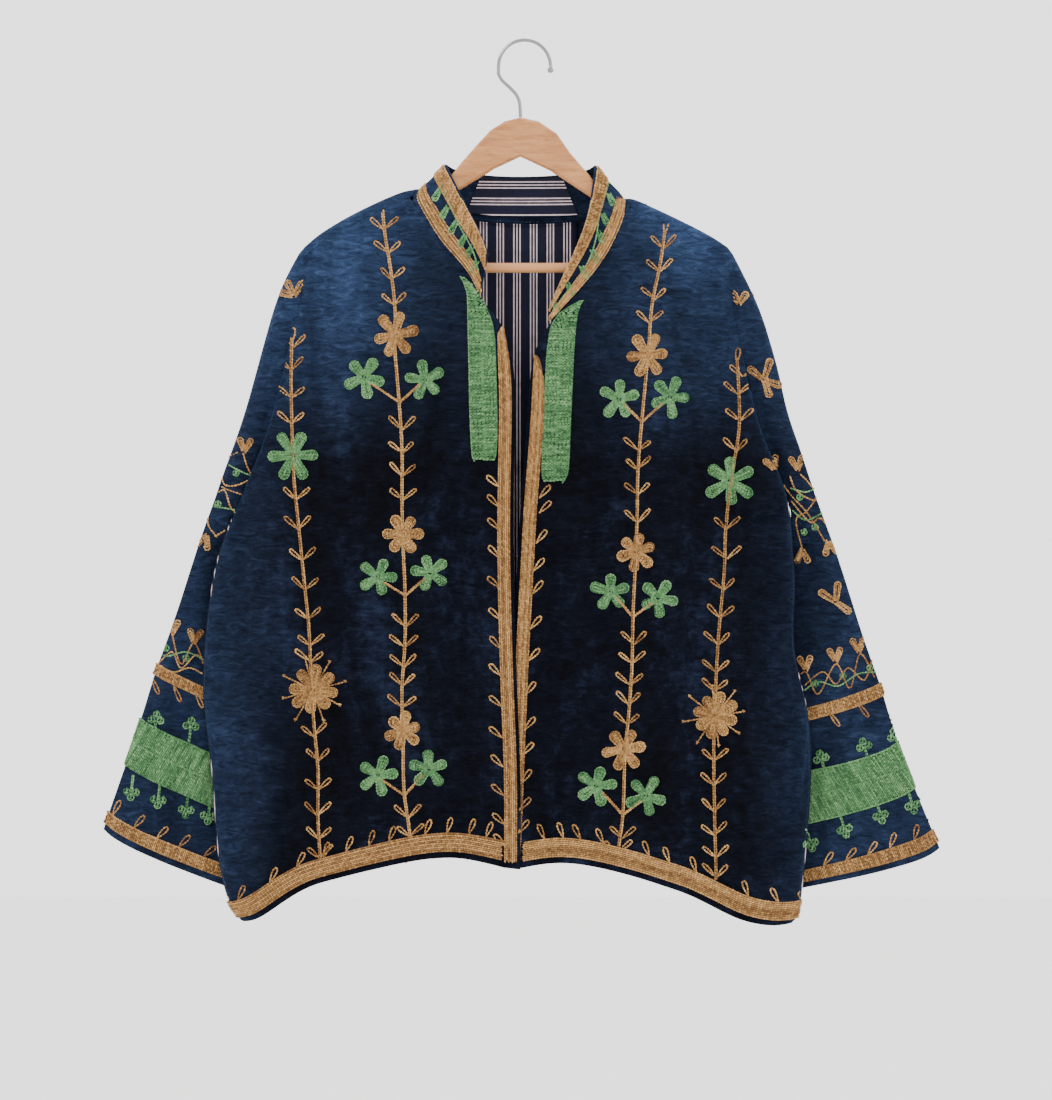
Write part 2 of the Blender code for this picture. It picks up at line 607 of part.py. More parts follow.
def make_hanger(maker):
    curve = bpy.data.curves.new("hanger_wood", "CURVE")
    curve.dimensions = "2D"
    curve.fill_mode = "BOTH"
    curve.extrude = WOOD_DEPTH / 2 * MM
    spline = curve.splines.new("POLY")
    spline.points.add(len(WOOD_OUTLINE) - 1)
    for slot, (x, z) in zip(spline.points, WOOD_OUTLINE):
        slot.co = (x * MM, z * MM, 0.0, 1.0)
    spline.use_cyclic_u = True
    wood = maker.add("hanger_wood", curve, "wood")
    wood.rotation_euler = (math.radians(90), 0, 0)
    weld = wood.modifiers.new("weld", "WELD")
    weld.merge_threshold = 0.00001
    ease = wood.modifiers.new("ease", "BEVEL")
    ease.width = WOOD_ROUND * MM
    ease.segments = 1
    ease.limit_method = "ANGLE"
    ease.angle_limit = math.radians(60)
    bar = [(x, 0, BAR_Z) for x in BAR_SPAN]
    maker.tube("hanger_bar", bar, BAR_RADIUS, "wood", sides=4)
    centre = WIRE_RADIUS - HOOK_RADIUS
    steps = 18
    arc = []
    for step in range(steps + 1):
        angle = math.pi * step / steps
        arc.append((HOOK_RADIUS * math.cos(angle), 0, centre + HOOK_RADIUS * math.sin(angle)))
    tail = [(point.x, 0, point.y) for point in smooth_run(HOOK_TAIL, 3)]
    ball = [(HOOK_RADIUS, 0, centre - drop) for drop in (7.0, 6.6, 5.2, 3.4, 1.6)]
    sizes = [0.4, 1.15, 1.8, 1.8, 1.15] + [1.0] * (len(arc) + len(tail))
    maker.tube("hanger_hook", ball + arc + tail, WIRE_RADIUS, "steel", sizes=sizes)


def main():
    clear_scene()
    maker = Maker("jacket_on_hanger")
    grids = {
        "right": front_grid("right", RIGHT_FRONT, 0.0),
        "left": front_grid("left", LEFT_FRONT, UNDERLAP),
    }
    back = back_grid()
    make_fronts(maker, grids)
    make_back(maker, back)
    make_sleeves(maker, grids, back)
    make_collar(maker, collar_grid(grids["right"], grids["left"], back))
    make_hanger(maker)


main()
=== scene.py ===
# Navy velvet jacket with chain-stitch embroidery, on a wooden hanger.
import math
import random

import bmesh
import bpy
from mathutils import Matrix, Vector
from mathutils.bvhtree import BVHTree


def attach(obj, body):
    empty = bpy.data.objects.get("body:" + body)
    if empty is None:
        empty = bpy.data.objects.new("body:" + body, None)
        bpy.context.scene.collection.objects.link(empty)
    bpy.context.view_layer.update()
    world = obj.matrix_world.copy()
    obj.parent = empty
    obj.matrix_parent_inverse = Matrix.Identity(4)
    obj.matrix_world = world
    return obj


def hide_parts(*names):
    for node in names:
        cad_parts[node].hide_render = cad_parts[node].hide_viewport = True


renderLevels = 2    # how often each face of the cloth is split to smooth it

view = {
    "place": (0.0015, -4.2, -0.50825),
    "lens": 137.45,
    "pxPerMetre": 1000.0,    # one dot of the picture is one millimetre in the hanger's plane
    "hookPx": (524.5, 41.75),
}


def makeCamera():
    data = bpy.data.cameras.new("camera")
    data.lens = view["lens"]
    camera = bpy.data.objects.new("camera", data)
    camera.location = view["place"]
    camera.rotation_euler = (math.pi / 2, 0, 0)
    bpy.context.scene.collection.objects.link(camera)
    bpy.context.scene.camera = camera


def inPlane(px, py):
    x = (px - view["hookPx"][0]) / view["pxPerMetre"]
    z = (view["hookPx"][1] - py) / view["pxPerMetre"]
    return Vector((x, 0, z))


studio = {
    "worldStrength": 2.4,
    "aim": (0, 0, -0.45),
    "floorHeight": -1.6,
    "floorReach": 9,
    "floorColour": (0.93, 0.93, 0.92, 1),
    # name: place, size, power, colour
    "lights": {
        "keyLight": ((-1.7, -2.3, 1.7), 1.3, 30, (1, 0.98, 0.95)),
        "fillLight": ((2.4, -2.2, 0.9), 1.6, 10, (0.95, 0.97, 1)),
        "topLight": ((0.0, -0.25, 1.5), 0.9, 22, (0.93, 0.96, 1)),
        "backLight": ((0.6, 2.6, 0.5), 2.0, 20, (1, 1, 1)),
    },
}


def makeStudio():
    world = bpy.data.worlds.new("studioWorld")
    world.use_nodes = True
    back = world.node_tree.nodes["Background"]
    back.inputs["Color"].default_value = (1, 1, 1, 1)
    back.inputs["Strength"].default_value = studio["worldStrength"]
    bpy.context.scene.world = world
    for name, (place, size, power, colour) in studio["lights"].items():
        data = bpy.data.lights.new(name, "AREA")
        data.energy = power
        data.size = size
        data.color = colour
        lamp = bpy.data.objects.new(name, data)
        lamp.location = place
        aim = Vector(studio["aim"]) - Vector(place)
        lamp.rotation_euler = aim.to_track_quat("-Z", "Y").to_euler()
        bpy.context.scene.collection.objects.link(lamp)
    mesh = bpy.data.meshes.new("floor")
    reach = studio["floorReach"]
    corners = [(-reach, -reach), (reach, -reach), (reach, reach), (-reach, reach)]
    mesh.from_pydata([(x, y, studio["floorHeight"]) for x, y in corners], [], [(0, 1, 2, 3)])
    floor = link("floor", mesh, newMaterial("floorPaint", studio["floorColour"], 0.75)[0])


def link(name, mesh, material=None):
    piece = bpy.data.objects.new(name, mesh)
    bpy.context.scene.collection.objects.link(piece)
    if material:
        mesh.materials.clear()
        mesh.materials.append(material)
    return piece


# Materials

def newMaterial(name, colour, roughness):
    material = bpy.data.materials.new(name)
    material.use_nodes = True
    tree = material.node_tree
    shader = tree.nodes["Principled BSDF"]
    setInputs(tree, shader, {"Base Color": (*colour[:3], 1), "Roughness": roughness})
    return material, shader, tree


def setInputs(tree, node, inputs):
    for key, value in inputs.items():
        if isinstance(value, bpy.types.NodeSocket):
            tree.links.new(value, node.inputs[key])
        else:
            node.inputs[key].default_value = value


def addNode(tree, kind, inputs=None, **settings):
    node = tree.nodes.new(kind)
    for key, value in settings.items():
        setattr(node, key, value)
    setInputs(tree, node, inputs or {})
    return node


def outOf(tree, kind, inputs=None, out=0, **settings):
    return addNode(tree, kind, inputs, **settings).outputs[out]


def objectPlace(tree):
    return outOf(tree, "ShaderNodeTexCoord", out="Object")


def maths(tree, operation, *values, **settings):
    return outOf(tree, "ShaderNodeMath", dict(enumerate(values)), operation=operation, **settings)


def noise(tree, place, scale, detail, roughness=0.5, distortion=0.0):
    inputs = {"Vector": place, "Scale": scale, "Detail": detail, "Roughness": roughness,
              "Distortion": distortion}
    return outOf(tree, "ShaderNodeTexNoise", inputs, "Fac")


def stretched(tree, place, scale):
    return outOf(tree, "ShaderNodeMapping", {"Vector": place, "Scale": scale})


def mapped(tree, value, start, end, least, most):
    inputs = {"Value": value, "From Min": start, "From Max": end, "To Min": least, "To Max": most}
    return outOf(tree, "ShaderNodeMapRange", inputs)


def blended(tree, share, one, other):
    return outOf(tree, "ShaderNodeMix", {0: share, 2: one, 3: other})


def tinted(tree, share, one, other, **settings):
    return outOf(tree, "ShaderNodeMix", {0: share, 6: one, 7: other}, 2, data_type="RGBA", **settings)


def colourRamp(tree, factor, stops):
    ramp = addNode(tree, "ShaderNodeValToRGB", {"Fac": factor})
    points = ramp.color_ramp.elements
    while len(points) < len(stops):
        points.new(0.5)
    for point, (place, colour) in zip(points, stops):
        point.position = place
        point.color = (*colour, 1)
    return ramp.outputs["Color"]


def addBump(tree, shader, height, strength, depth, under=None):
    inputs = {"Height": height, "Strength": strength, "Distance": depth}
    if under:
        inputs["Normal"] = under
    bump = outOf(tree, "ShaderNodeBump", inputs, "Normal")
    tree.links.new(bump, shader.inputs["Normal"])
    return bump


velvetLook = {
    "trough": (0.0006, 0.0006, 0.0010),
    "pile": (0.0021, 0.0028, 0.0068),
    "brushed": (0.0098, 0.0155, 0.0370),
    # painted sheen: the lighter blue that the pile shows where it catches the light
    "paintedSheen": (0.0265, 0.0500, 0.1150),    # the pile that catches the light at the shoulders
    "sheenTint": (0.20, 0.45, 1.0),
    "sheen": 0.13,
    "sheenRoughness": 0.22,
    "specular": 0.04,
    "brushScale": 7.0,
    "crushScale": 77.0,
    "streakScale": 95.0,
    "streakTones": [(0.34, (0.42, 0.42, 0.44)), (0.54, (1, 1, 1)), (0.70, (1.9, 1.8, 1.65))],
    "streakDepth": 0.0035,
    "napScale": 520.0,
    "napDepth": 0.0006,
    # where the painted sheen starts and ends, in metres or in brush marks, and how much there is of it
    "paintedSheenUpwards": (-0.42, -0.16, 0.0, 0.8),
    "paintedSheenOutwards": (0.03, 0.17, 0.12, 1.0),
    "paintedSheenAtArms": (0.22, 0.33, 0.0, 0.30),
    "paintedSheenInPatches": (0.3, 0.7, 0.45, 1.15),
}


def velvetMaterial():
    look = velvetLook
    material, shader, tree = newMaterial("navyVelvet", look["pile"], 0.82)
    place = objectPlace(tree)
    brushed = noise(tree, stretched(tree, place, (1.6, 1, 0.8)), look["brushScale"], 5, 0.62, 0.7)
    crushed = noise(tree, place, look["crushScale"], 4, 0.7)
    stops = [(0.34, look["trough"]), (0.52, look["pile"]), (0.74, look["brushed"])]
    ground = colourRamp(tree, blended(tree, 0.38, brushed, crushed), stops)
    # painted sheen: the velvet is coloured lighter blue high up, out at the sides and at the arms, in
    # patches, where its pile catches the light
    split = addNode(tree, "ShaderNodeSeparateXYZ", {"Vector": place}).outputs
    across = maths(tree, "ABSOLUTE", split["X"])
    upwards = mapped(tree, split["Z"], *look["paintedSheenUpwards"])
    outwards = mapped(tree, across, *look["paintedSheenOutwards"])
    atArms = mapped(tree, across, *look["paintedSheenAtArms"])
    paintedSheen = maths(tree, "ADD", maths(tree, "MULTIPLY", upwards, outwards), atArms)
    patchy = mapped(tree, brushed, *look["paintedSheenInPatches"])
    share = maths(tree, "MULTIPLY", paintedSheen, patchy, use_clamp=True)
    withPaintedSheen = tinted(tree, share, ground, (*look["paintedSheen"], 1))
    streaks = noise(tree, stretched(tree, place, (0.55, 1, 1.9)), look["streakScale"], 6, 0.68, 1.4)
    marks = colourRamp(tree, streaks, look["streakTones"])
    soft = addBump(tree, shader, streaks, 0.75, look["streakDepth"])
    addBump(tree, shader, noise(tree, place, look["napScale"], 3), 0.32, look["napDepth"], soft)
    setInputs(tree, shader, {
        "Base Color": tinted(tree, 1.0, withPaintedSheen, marks, blend_type="MULTIPLY"),
        "Specular IOR Level": look["specular"],
        "Sheen Weight": look["sheen"],
        "Sheen Roughness": look["sheenRoughness"],
        "Sheen Tint": (*look["sheenTint"], 1),
    })
    return material


liningLook = {
    "ground": (0.0045, 0.0055, 0.0170),
    "line": (0.50, 0.40, 0.42),
    "pitch": 0.0168,
    "lineWide": 0.0013,
    "lineStep": 0.0031,
    "fading": [(0.3, (0.72, 0.72, 0.74)), (0.7, (1.08, 1.06, 1.05))],
    "weaveScale": 310,
}


def liningMaterial(name, axis, start):
    look = liningLook
    material, shader, tree = newMaterial(name, look["ground"], 0.8)
    place = objectPlace(tree)
    split = addNode(tree, "ShaderNodeSeparateXYZ", {"Vector": place}).outputs
    half = look["pitch"] / 2
    shifted = maths(tree, "SUBTRACT", split[axis], start - half)
    centred = maths(tree, "SUBTRACT", maths(tree, "FLOORED_MODULO", shifted, look["pitch"]), half)
    lines = 0.0
    for shift in (-look["lineStep"], 0, look["lineStep"]):
        away = maths(tree, "ABSOLUTE", maths(tree, "SUBTRACT", centred, shift))
        lines = maths(tree, "MAXIMUM", lines, maths(tree, "LESS_THAN", away, look["lineWide"] / 2))
    striped = tinted(tree, lines, (*look["ground"], 1), (*look["line"], 1))
    shade = colourRamp(tree, noise(tree, place, 160, 4), look["fading"])
    wave = {"Vector": place, "Scale": look["weaveScale"]}
    ways = [outOf(tree, "ShaderNodeTexWave", wave, "Fac", bands_direction=way) for way in ("X", "Z")]
    addBump(tree, shader, maths(tree, "ADD", *ways), 0.25, 0.0003)
    faded = tinted(tree, 1.0, striped, shade, blend_type="MULTIPLY")
    setInputs(tree, shader, {"Base Color": faded, "Specular IOR Level": 0.15})
    return material


threadLook = {
    # dark, middle, pale
    # the two grounds are darker copies of the thread tones below: painted shade in the gaps between the
    # stitches
    "tanGround": ((0.090, 0.044, 0.017), (0.170, 0.088, 0.034), (0.250, 0.140, 0.060)),
    "greenGround": ((0.024, 0.066, 0.027), (0.048, 0.120, 0.050), (0.090, 0.190, 0.085)),
    "tanThread": ((0.150, 0.066, 0.020), (0.345, 0.180, 0.060), (0.530, 0.310, 0.120)),
    "greenThread": ((0.034, 0.105, 0.038), (0.088, 0.215, 0.080), (0.185, 0.350, 0.155)),
}


def threadMaterial(name):
    tones = threadLook[name]
    material, shader, tree = newMaterial(name, tones[1], 0.5)
    place = objectPlace(tree)
    shade = outOf(tree, "ShaderNodeAttribute", out="Fac", attribute_name="threadShade")
    both = blended(tree, 0.25, shade, noise(tree, place, 42, 3))
    addBump(tree, shader, noise(tree, place, 1500, 2), 0.4, 0.0003)
    setInputs(tree, shader, {
        "Base Color": colourRamp(tree, both, list(zip((0.20, 0.52, 0.85), tones))),
        "Sheen Weight": 0.08,
        "Sheen Roughness": 0.4,
        "Specular IOR Level": 0.12,
    })
    return material


woodLook = {
    # dark, middle and pale tone, and how the grain is stretched
    "varnishedWood": ((0.235, 0.082, 0.024), (0.350, 0.142, 0.045), (0.440, 0.200, 0.072), (1, 3, 6)),
    "barWood": ((0.350, 0.142, 0.045), (0.440, 0.200, 0.072), (0.330, 0.165, 0.068), (1, 8, 8)),
}


def woodMaterial(name):
    *tones, stretch = woodLook[name]
    material, shader, tree = newMaterial(name, tones[1], 0.38)
    along = stretched(tree, objectPlace(tree), stretch)
    fine = noise(tree, along, 150, 3)
    both = blended(tree, 0.3, noise(tree, along, 26, 6, 0.6, 0.5), fine)
    addBump(tree, shader, fine, 0.12, 0.0006)
    setInputs(tree, shader, {
        "Base Color": colourRamp(tree, both, list(zip((0.32, 0.50, 0.68), tones))),
        "Coat Weight": 0.22,
        "Coat Roughness": 0.18,
        "Specular IOR Level": 0.25,
    })
    return material


def steelMaterial():
    material, shader, tree = newMaterial("polishedSteel", (0.20, 0.205, 0.215), 0.2)
    marks = noise(tree, objectPlace(tree), 260, 4)
    setInputs(tree, shader, {"Metallic": 1, "Roughness": mapped(tree, marks, 0, 1, 0.12, 0.3)})
    return material


# The cloth: each sewn piece is the solid's form, made smooth, with its listed creases laid in

def clamp(value, low=0.0, high=1.0):
    return min(high, max(low, value))


creaseDepth = 1.6    # one number for all the creases below

frontCreases = [
    # from px, to px, half width in px, height in mm; more than 0 stands proud
    ((452, 420), (462, 840), 17, -3.4),
    ((431, 520), (444, 850), 12, 2.2),
    ((405, 560), (398, 860), 15, -1.6),
    ((352, 470), (362, 860), 16, -2.2),
    ((330, 640), (336, 890), 12, 2.0),
    ((268, 560), (258, 890), 14, 2.4),
    ((250, 420), (232, 640), 10, -2.6),
    ((282, 700), (279, 900), 9, -2.0),
    ((560, 470), (566, 840), 14, -2.8),
    ((548, 620), (541, 850), 9, 2.0),
    ((600, 430), (604, 840), 13, -2.6),
    ((660, 400), (663, 860), 20, 3.2),
    ((690, 560), (688, 880), 11, -2.2),
    ((748, 640), (756, 890), 14, 2.4),
    ((772, 560), (780, 880), 9, -2.4),
    ((794, 512), (735, 522), 8, -3.8),
    ((788, 532), (715, 540), 9, 2.8),
    ((770, 556), (700, 560), 10, -1.8),
    ((793, 640), (792, 800), 4.5, -2.6),
    ((801, 650), (801, 790), 4.0, 2.2),
    ((808, 640), (808, 790), 4.0, -2.4),
    ((300, 300), (318, 430), 11, -1.8),
    ((740, 300), (716, 440), 12, -1.8),
    ((420, 250), (440, 420), 15, -1.8),
    ((618, 250), (596, 410), 15, -1.8),
    ((520, 700), (520, 860), 8, 1.2),
]

backCreases = [
    ((360, 300), (330, 880), 24, 3.0),
    ((410, 420), (396, 880), 16, -2.6),
    ((470, 360), (462, 860), 18, 2.4),
    ((520, 260), (523, 850), 14, -2.2),
    ((575, 380), (586, 860), 17, 2.6),
    ((640, 400), (652, 880), 18, -2.4),
    ((700, 340), (726, 890), 22, 2.8),
    ((270, 520), (340, 560), 13, -2.0),
    ((780, 520), (716, 566), 13, -2.0),
    ((420, 230), (620, 236), 12, 1.6),
]

sleeveCreases = [
    ((262, 400), (176, 640), 13, 2.2),
    ((286, 380), (232, 560), 9, -2.2),
    ((214, 560), (182, 800), 12, -2.0),
    ((168, 690), (146, 830), 11, 2.0),
    ((196, 700), (200, 850), 8, 1.8),
    ((768, 330), (822, 520), 10, 2.0),
    ((756, 380), (806, 560), 7, -2.2),
    ((828, 560), (872, 700), 12, -2.0),
    ((838, 690), (842, 850), 10, 2.2),
    ((872, 690), (890, 850), 11, -1.8),
    ((905, 740), (922, 850), 8, 1.8),
    ((812, 500), (834, 488), 8, -1.6),
]


creaseRun = {
    # in shares of the crease's length: how far it runs past its ends, and how long it fades in and out
    "start": -0.35,
    "end": 1.35,
    "fadeIn": (0.3, 0.5),
    "fadeOut": (1.3, 0.45),
    "wander": 4.0,    # px, because no crease runs dead straight
}


def creaseAt(creases, x, z):
    run = creaseRun
    px = view["hookPx"][0] + x * view["pxPerMetre"]
    py = view["hookPx"][1] - z * view["pxPerMetre"]
    total = 0
    for (ax, ay), (bx, by), width, height in creases:
        dx = bx - ax
        dy = by - ay
        length = math.hypot(dx, dy)
        along = ((px - ax) * dx + (py - ay) * dy) / (length * length)
        if not run["start"] < along < run["end"]:
            continue
        across = ((px - ax) * dy - (py - ay) * dx) / length
        across += run["wander"] * math.sin(along * 5.1 + ax * 0.05)
        if abs(across) > width * 3:
            continue
        ends = clamp((along + run["fadeIn"][0]) / run["fadeIn"][1])
        ends *= clamp((run["fadeOut"][0] - along) / run["fadeOut"][1])
        ends = ends * ends * (3 - 2 * ends)
        total += height * ends * math.exp(-(across / width) ** 2)
    return total * creaseDepth / 1000


def crumpleAt(x, z):
    # a little unevenness that keeps large panels from being flat
    wave = 0.5 * math.sin(x * 61 + 3.1 * math.sin(z * 17)) * math.sin(z * 43 + 2.2 * math.sin(x * 23))
    wave += 0.35 * math.sin(x * 97 - z * 71) * math.sin(z * 88 + x * 31)
    return wave * 0.0009


# Each way to move a piece gives how far a vertex goes towards the back, in metres

def frontMove(x, y, z):
    return -creaseAt(frontCreases, x, z) - crumpleAt(x, z)


def backMove(x, y, z):
    near = clamp((y - 0.002) / 0.006)
    return near * (creaseAt(backCreases, x, z) * 0.8 + crumpleAt(x, z))


def liningMove(x, y, z):
    return backMove(x, y + 0.004, z) - 0.0009


def sleeveMove(x, y, z):
    middle = 0.008 + 0.017 * clamp((-z - 0.30) / 0.35)
    side = clamp((y - middle) / 0.007, -1.0)
    if side < 0:
        return side * (creaseAt(sleeveCreases, x, z) + crumpleAt(x, z))
    return side * (creaseAt(sleeveCreases, x * 0.985, z + 0.02) * 0.8 + crumpleAt(x, z))


def restAsItIs(x, y, z):
    return 0.0


sharpTurn = 1.3    # radians; a steeper edge is a cut edge of the cloth


def keepEdges(shape):
    layer = shape.edges.layers.float.get("crease_edge") or shape.edges.layers.float.new("crease_edge")
    for edge in shape.edges:
        if edge.calc_face_angle(0) > sharpTurn:
            edge[layer] = 1.0


seamReach = {
    # a cut edge nearer to its neighbour than the first measure lies on it, and one past the second stays
    "front": (0.0048, 0.0075),
    "sleeve": (0.0032, 0.0046),
    "collar": (0.0055, 0.0085),
}


def closeSeams(node, neighbours):
    near, far = seamReach[node.split("_")[0]]
    piece = cloth[node]
    trees = [treeOf(cloth[other]) for other in neighbours]
    for vertex in piece.data.vertices:
        best = None
        for tree in trees:
            place, normal, index, gap = tree.find_nearest(vertex.co, far)
            if place and (best is None or gap < best[1]):
                best = (place, gap)
        if best:
            vertex.co = vertex.co.lerp(best[0], clamp((far - best[1]) / (far - near)))
    piece.data.update()


def treeOf(piece):
    mesh = piece.data
    faces = [tuple(p.vertices) for p in mesh.polygons]
    return BVHTree.FromPolygons([v.co.copy() for v in mesh.vertices], faces)


def smoothCopy(node, name, material, move):
    shape = bmesh.new()
    shape.from_mesh(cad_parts[node].data)
    bmesh.ops.remove_doubles(shape, verts=shape.verts, dist=0.00001)
    bmesh.ops.join_triangles(shape, faces=shape.faces, angle_face_threshold=3.1, angle_shape_threshold=3.1)
    bmesh.ops.recalc_face_normals(shape, faces=shape.faces)
    keepEdges(shape)
    rough = bpy.data.meshes.new(name + "_rough")
    shape.to_mesh(rough)
    shape.free()
    piece = link(name, rough, material)
    soften = piece.modifiers.new("soften", "SUBSURF")
    soften.levels = renderLevels
    soften.render_levels = renderLevels
    graph = bpy.context.evaluated_depsgraph_get()
    smooth = bpy.data.meshes.new_from_object(piece.evaluated_get(graph))
    smooth.name = name
    piece.modifiers.clear()
    piece.data = smooth
    bpy.data.meshes.remove(rough)
    for vertex in smooth.vertices:
        x, y, z = vertex.co
        vertex.co.y = y + move(x, y, z)
    smooth.polygons.foreach_set("use_smooth", [True] * len(smooth.polygons))
    smooth.update()
    return piece


clothPieces = {
    # node: way it moves, flat cut in metres (width, length), area in square metres
    "front_right": (frontMove, (0.34, 0.76), 0.205),
    "front_left": (frontMove, (0.34, 0.76), 0.205),
    "back": (backMove, (0.66, 0.76), 0.42),
    "sleeve_right": (sleeveMove, (0.36, 0.62), 0.115),
    "sleeve_left": (sleeveMove, (0.36, 0.62), 0.115),
    "collar": (restAsItIs, (0.44, 0.07), 0.024),
}

toFront = (0, -1, 0)
toBack = (0, 1, 0)

bands = {
    # node: piece under it, thread, way it moves, way its outer face looks, run of the rows, blocks of rows
    "front_band_right": ("front_right", "tan", frontMove, toFront, "along", 1),
    "front_band_left": ("front_left", "tan", frontMove, toFront, "along", 1),
    "hem_band_right": ("front_right", "tan", frontMove, toFront, "along", 1),
    "hem_band_left": ("front_left", "tan", frontMove, toFront, "along", 1),
    "hem_band_back": ("back", "tan", backMove, toBack, "along", 1),
    "collar_band_lower": ("collar", "tan", restAsItIs, toBack, "along", 1),
    "collar_band_upper": ("collar", "tan", restAsItIs, toBack, "across", 1),
    "cuff_band_right": ("sleeve_right", "tan", sleeveMove, toFront, "across", 1),
    "cuff_band_left": ("sleeve_left", "tan", sleeveMove, toFront, "across", 1),
    "forearm_band_right": ("sleeve_right", "tan", sleeveMove, toFront, "across", 1),
    "forearm_band_left": ("sleeve_left", "tan", sleeveMove, toFront, "across", 1),
    "green_band_right": ("sleeve_right", "green", sleeveMove, toFront, "across", 2),
    "green_band_left": ("sleeve_left", "green", sleeveMove, toFront, "across", 2),
}

lined = {
    "top": -0.262,    # above this the outer skin of the shoulders turns forward too
    "facing": 0.55,
    # node: way its inner skin looks
    "pieces": {"back": toFront, "front_right": toBack, "front_left": toBack},
}


def lineInside(piece, material, way):
    # the inner skin of a piece shows the striped lining
    way = Vector(way)
    piece.data.materials.append(material)
    for polygon in piece.data.polygons:
        if polygon.center.z < lined["top"] and polygon.normal.dot(way) > lined["facing"]:
            polygon.material_index = 1


def dress(piece, node):
    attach(piece, "root")
    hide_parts(node)


# Chain stitch. Rows are laid on the cloth first, and Geometry Nodes works one link at each step along them.

stitchLook = {
    # the modifier's own inputs
    "Stitch length": 0.0029,
    "Stitch width": 0.00205,
    "Stitch height": 0.00125,
    "Lift": -0.0001,
    "Size change": 0.14,
    "Turn change": 0.16,
    "Seed": 11,
}

rowStep = 0.00185    # metres from row to row in the bands
farthestJump = 0.012    # metres; a row that jumps farther from one point to the next is cut

rows = {}    # (panel, thread): rows of (place, normal)


def keepRow(panel, thread, row):
    if len(row) > 1:
        rows.setdefault((panel, thread), []).append(row)


class Surface:
    # every dressed piece in one tree, so that a ray finds the cloth that shows

    def __init__(self, pieces):
        places = []
        faces = []
        self.owner = []
        self.nodes = []
        for node, piece in pieces.items():
            start = len(places)
            places += [v.co.copy() for v in piece.data.vertices]
            for polygon in piece.data.polygons:
                faces.append(tuple(start + i for i in polygon.vertices))
                self.owner.append(bands[node][0] if node in bands else node)
                self.nodes.append(node)
        self.tree = BVHTree.FromPolygons(places, faces)
        self.side = "front"
        self.narrow = 1.0    # draws the work on the back in towards its middle
        self.keepTo = None    # the only panels worked on
        self.offHem = False    # whether the work stops at the hem and cuff bands

    def under(self, px, py):
        # the place, normal and panel of the cloth at a point of the picture
        if self.side == "front":
            start = Vector(view["place"])
            way = (inPlane(px, py) - start).normalized()
        else:
            start = inPlane(px, py)
            start.x = -start.x * self.narrow
            start.y = 1.0
            way = Vector(toFront)
        place, normal, index, gap = self.tree.ray_cast(start, way)
        if place is None or (self.offHem and self.nodes[index].startswith(("hem_band", "cuff_band"))):
            return None
        if normal.dot(way) > 0:
            normal = -normal
        return place, normal, self.owner[index]

    def lay(self, points, thread, only=None):
        # the row is cut where it passes from one piece to another or off the cloth
        only = only or self.keepTo
        row = []
        last = None
        for px, py in points:
            found = self.under(px, py)
            if found and only and found[2] not in only:
                found = None
            if last:
                jump = found and (found[0] - last[0]).length > farthestJump
                if not found or found[2] != last[2] or jump:
                    keepRow(last[2], thread, row)
                    row = []
            if found:
                row.append(found[:2])
            last = found
        if last:
            keepRow(last[2], thread, row)


hemClimb = {"below": 16, "above": 30, "step": 0.8}    # px


def aboveHem(surface, x, y):
    # climbs from below a hem or cuff band, over the band, to the first cloth above it
    foot = y + hemClimb["below"]
    onBand = False
    while foot > y - hemClimb["above"]:
        surface.offHem = False
        anything = surface.under(x, foot) is not None
        surface.offHem = True
        banded = anything and surface.under(x, foot) is None
        if onBand and not banded:
            return foot
        onBand = onBand or banded
        foot -= hemClimb["step"]
    return y


spreadStep = 2.2    # px


def spread(points):
    # more points along a line in the picture, on a smooth course through the given ones
    out = []
    last = len(points) - 1
    for i in range(last):
        a, b, c, d = (points[clamp(k, 0, last)] for k in (i - 1, i, i + 1, i + 2))
        pieces = max(1, int(math.hypot(c[0] - b[0], c[1] - b[1]) / spreadStep))
        for k in range(pieces):
            t = k / pieces
            out.append(tuple(0.5 * (2 * b[j] + (c[j] - a[j]) * t
                                    + (2 * a[j] - 5 * b[j] + 4 * c[j] - d[j]) * t * t
                                    + (3 * b[j] - a[j] - 3 * c[j] + d[j]) * t * t * t) for j in (0, 1)))
    out.append(tuple(points[-1]))
    return out


def turned(cx, cy, angle, along, across=0):
    # angle 0 points up in the picture and grows clockwise
    s = math.sin(angle)
    c = math.cos(angle)
    return cx + along * s + across * c, cy - along * c + across * s


def leafLoop(cx, cy, angle, length=15, width=4.8):
    points = []
    for k in range(15):
        turn = 2 * math.pi * (k / 14)
        along = length * (1 - math.cos(turn)) / 2
        across = width / 2 * math.sin(turn) * (0.35 + 0.9 * along / length)
        points.append(turned(cx, cy, angle, along, across))
    return points


def petalLoop(cx, cy, angle, start, end, half):
    # two straight sides and a round tip
    reach = end - half
    straight = [(start + (reach - start) * k / 3, half * (0.62 + 0.38 * k / 3)) for k in range(4)]
    tip = [math.pi * k / 8 for k in range(1, 8)]
    course = [(along, -across) for along, across in straight]
    course += [(reach + half * math.sin(turn), -half * math.cos(turn)) for turn in tip]
    course += straight[::-1]
    return [turned(cx, cy, angle, along, across) for along, across in course]


def ring(cx, cy, radius):
    return [turned(cx, cy, k * 0.5236, radius) for k in range(13)]    # twelve even steps round


def petals(surface, x, y, angle, sizes, thread, only=None):
    # one loop inside the other
    for start, end, half in sizes:
        surface.lay(petalLoop(x, y, angle, start, end, half), thread, only)


def rings(surface, x, y, sizes, thread, only=None):
    for radius in sizes:
        surface.lay(ring(x, y, radius), thread, only)


flowerLook = {"petalHalf": 4.5, "rowStep": 1.7, "heart": 0.30}
hand = random.Random(5)    # the embroiderer's unevenness


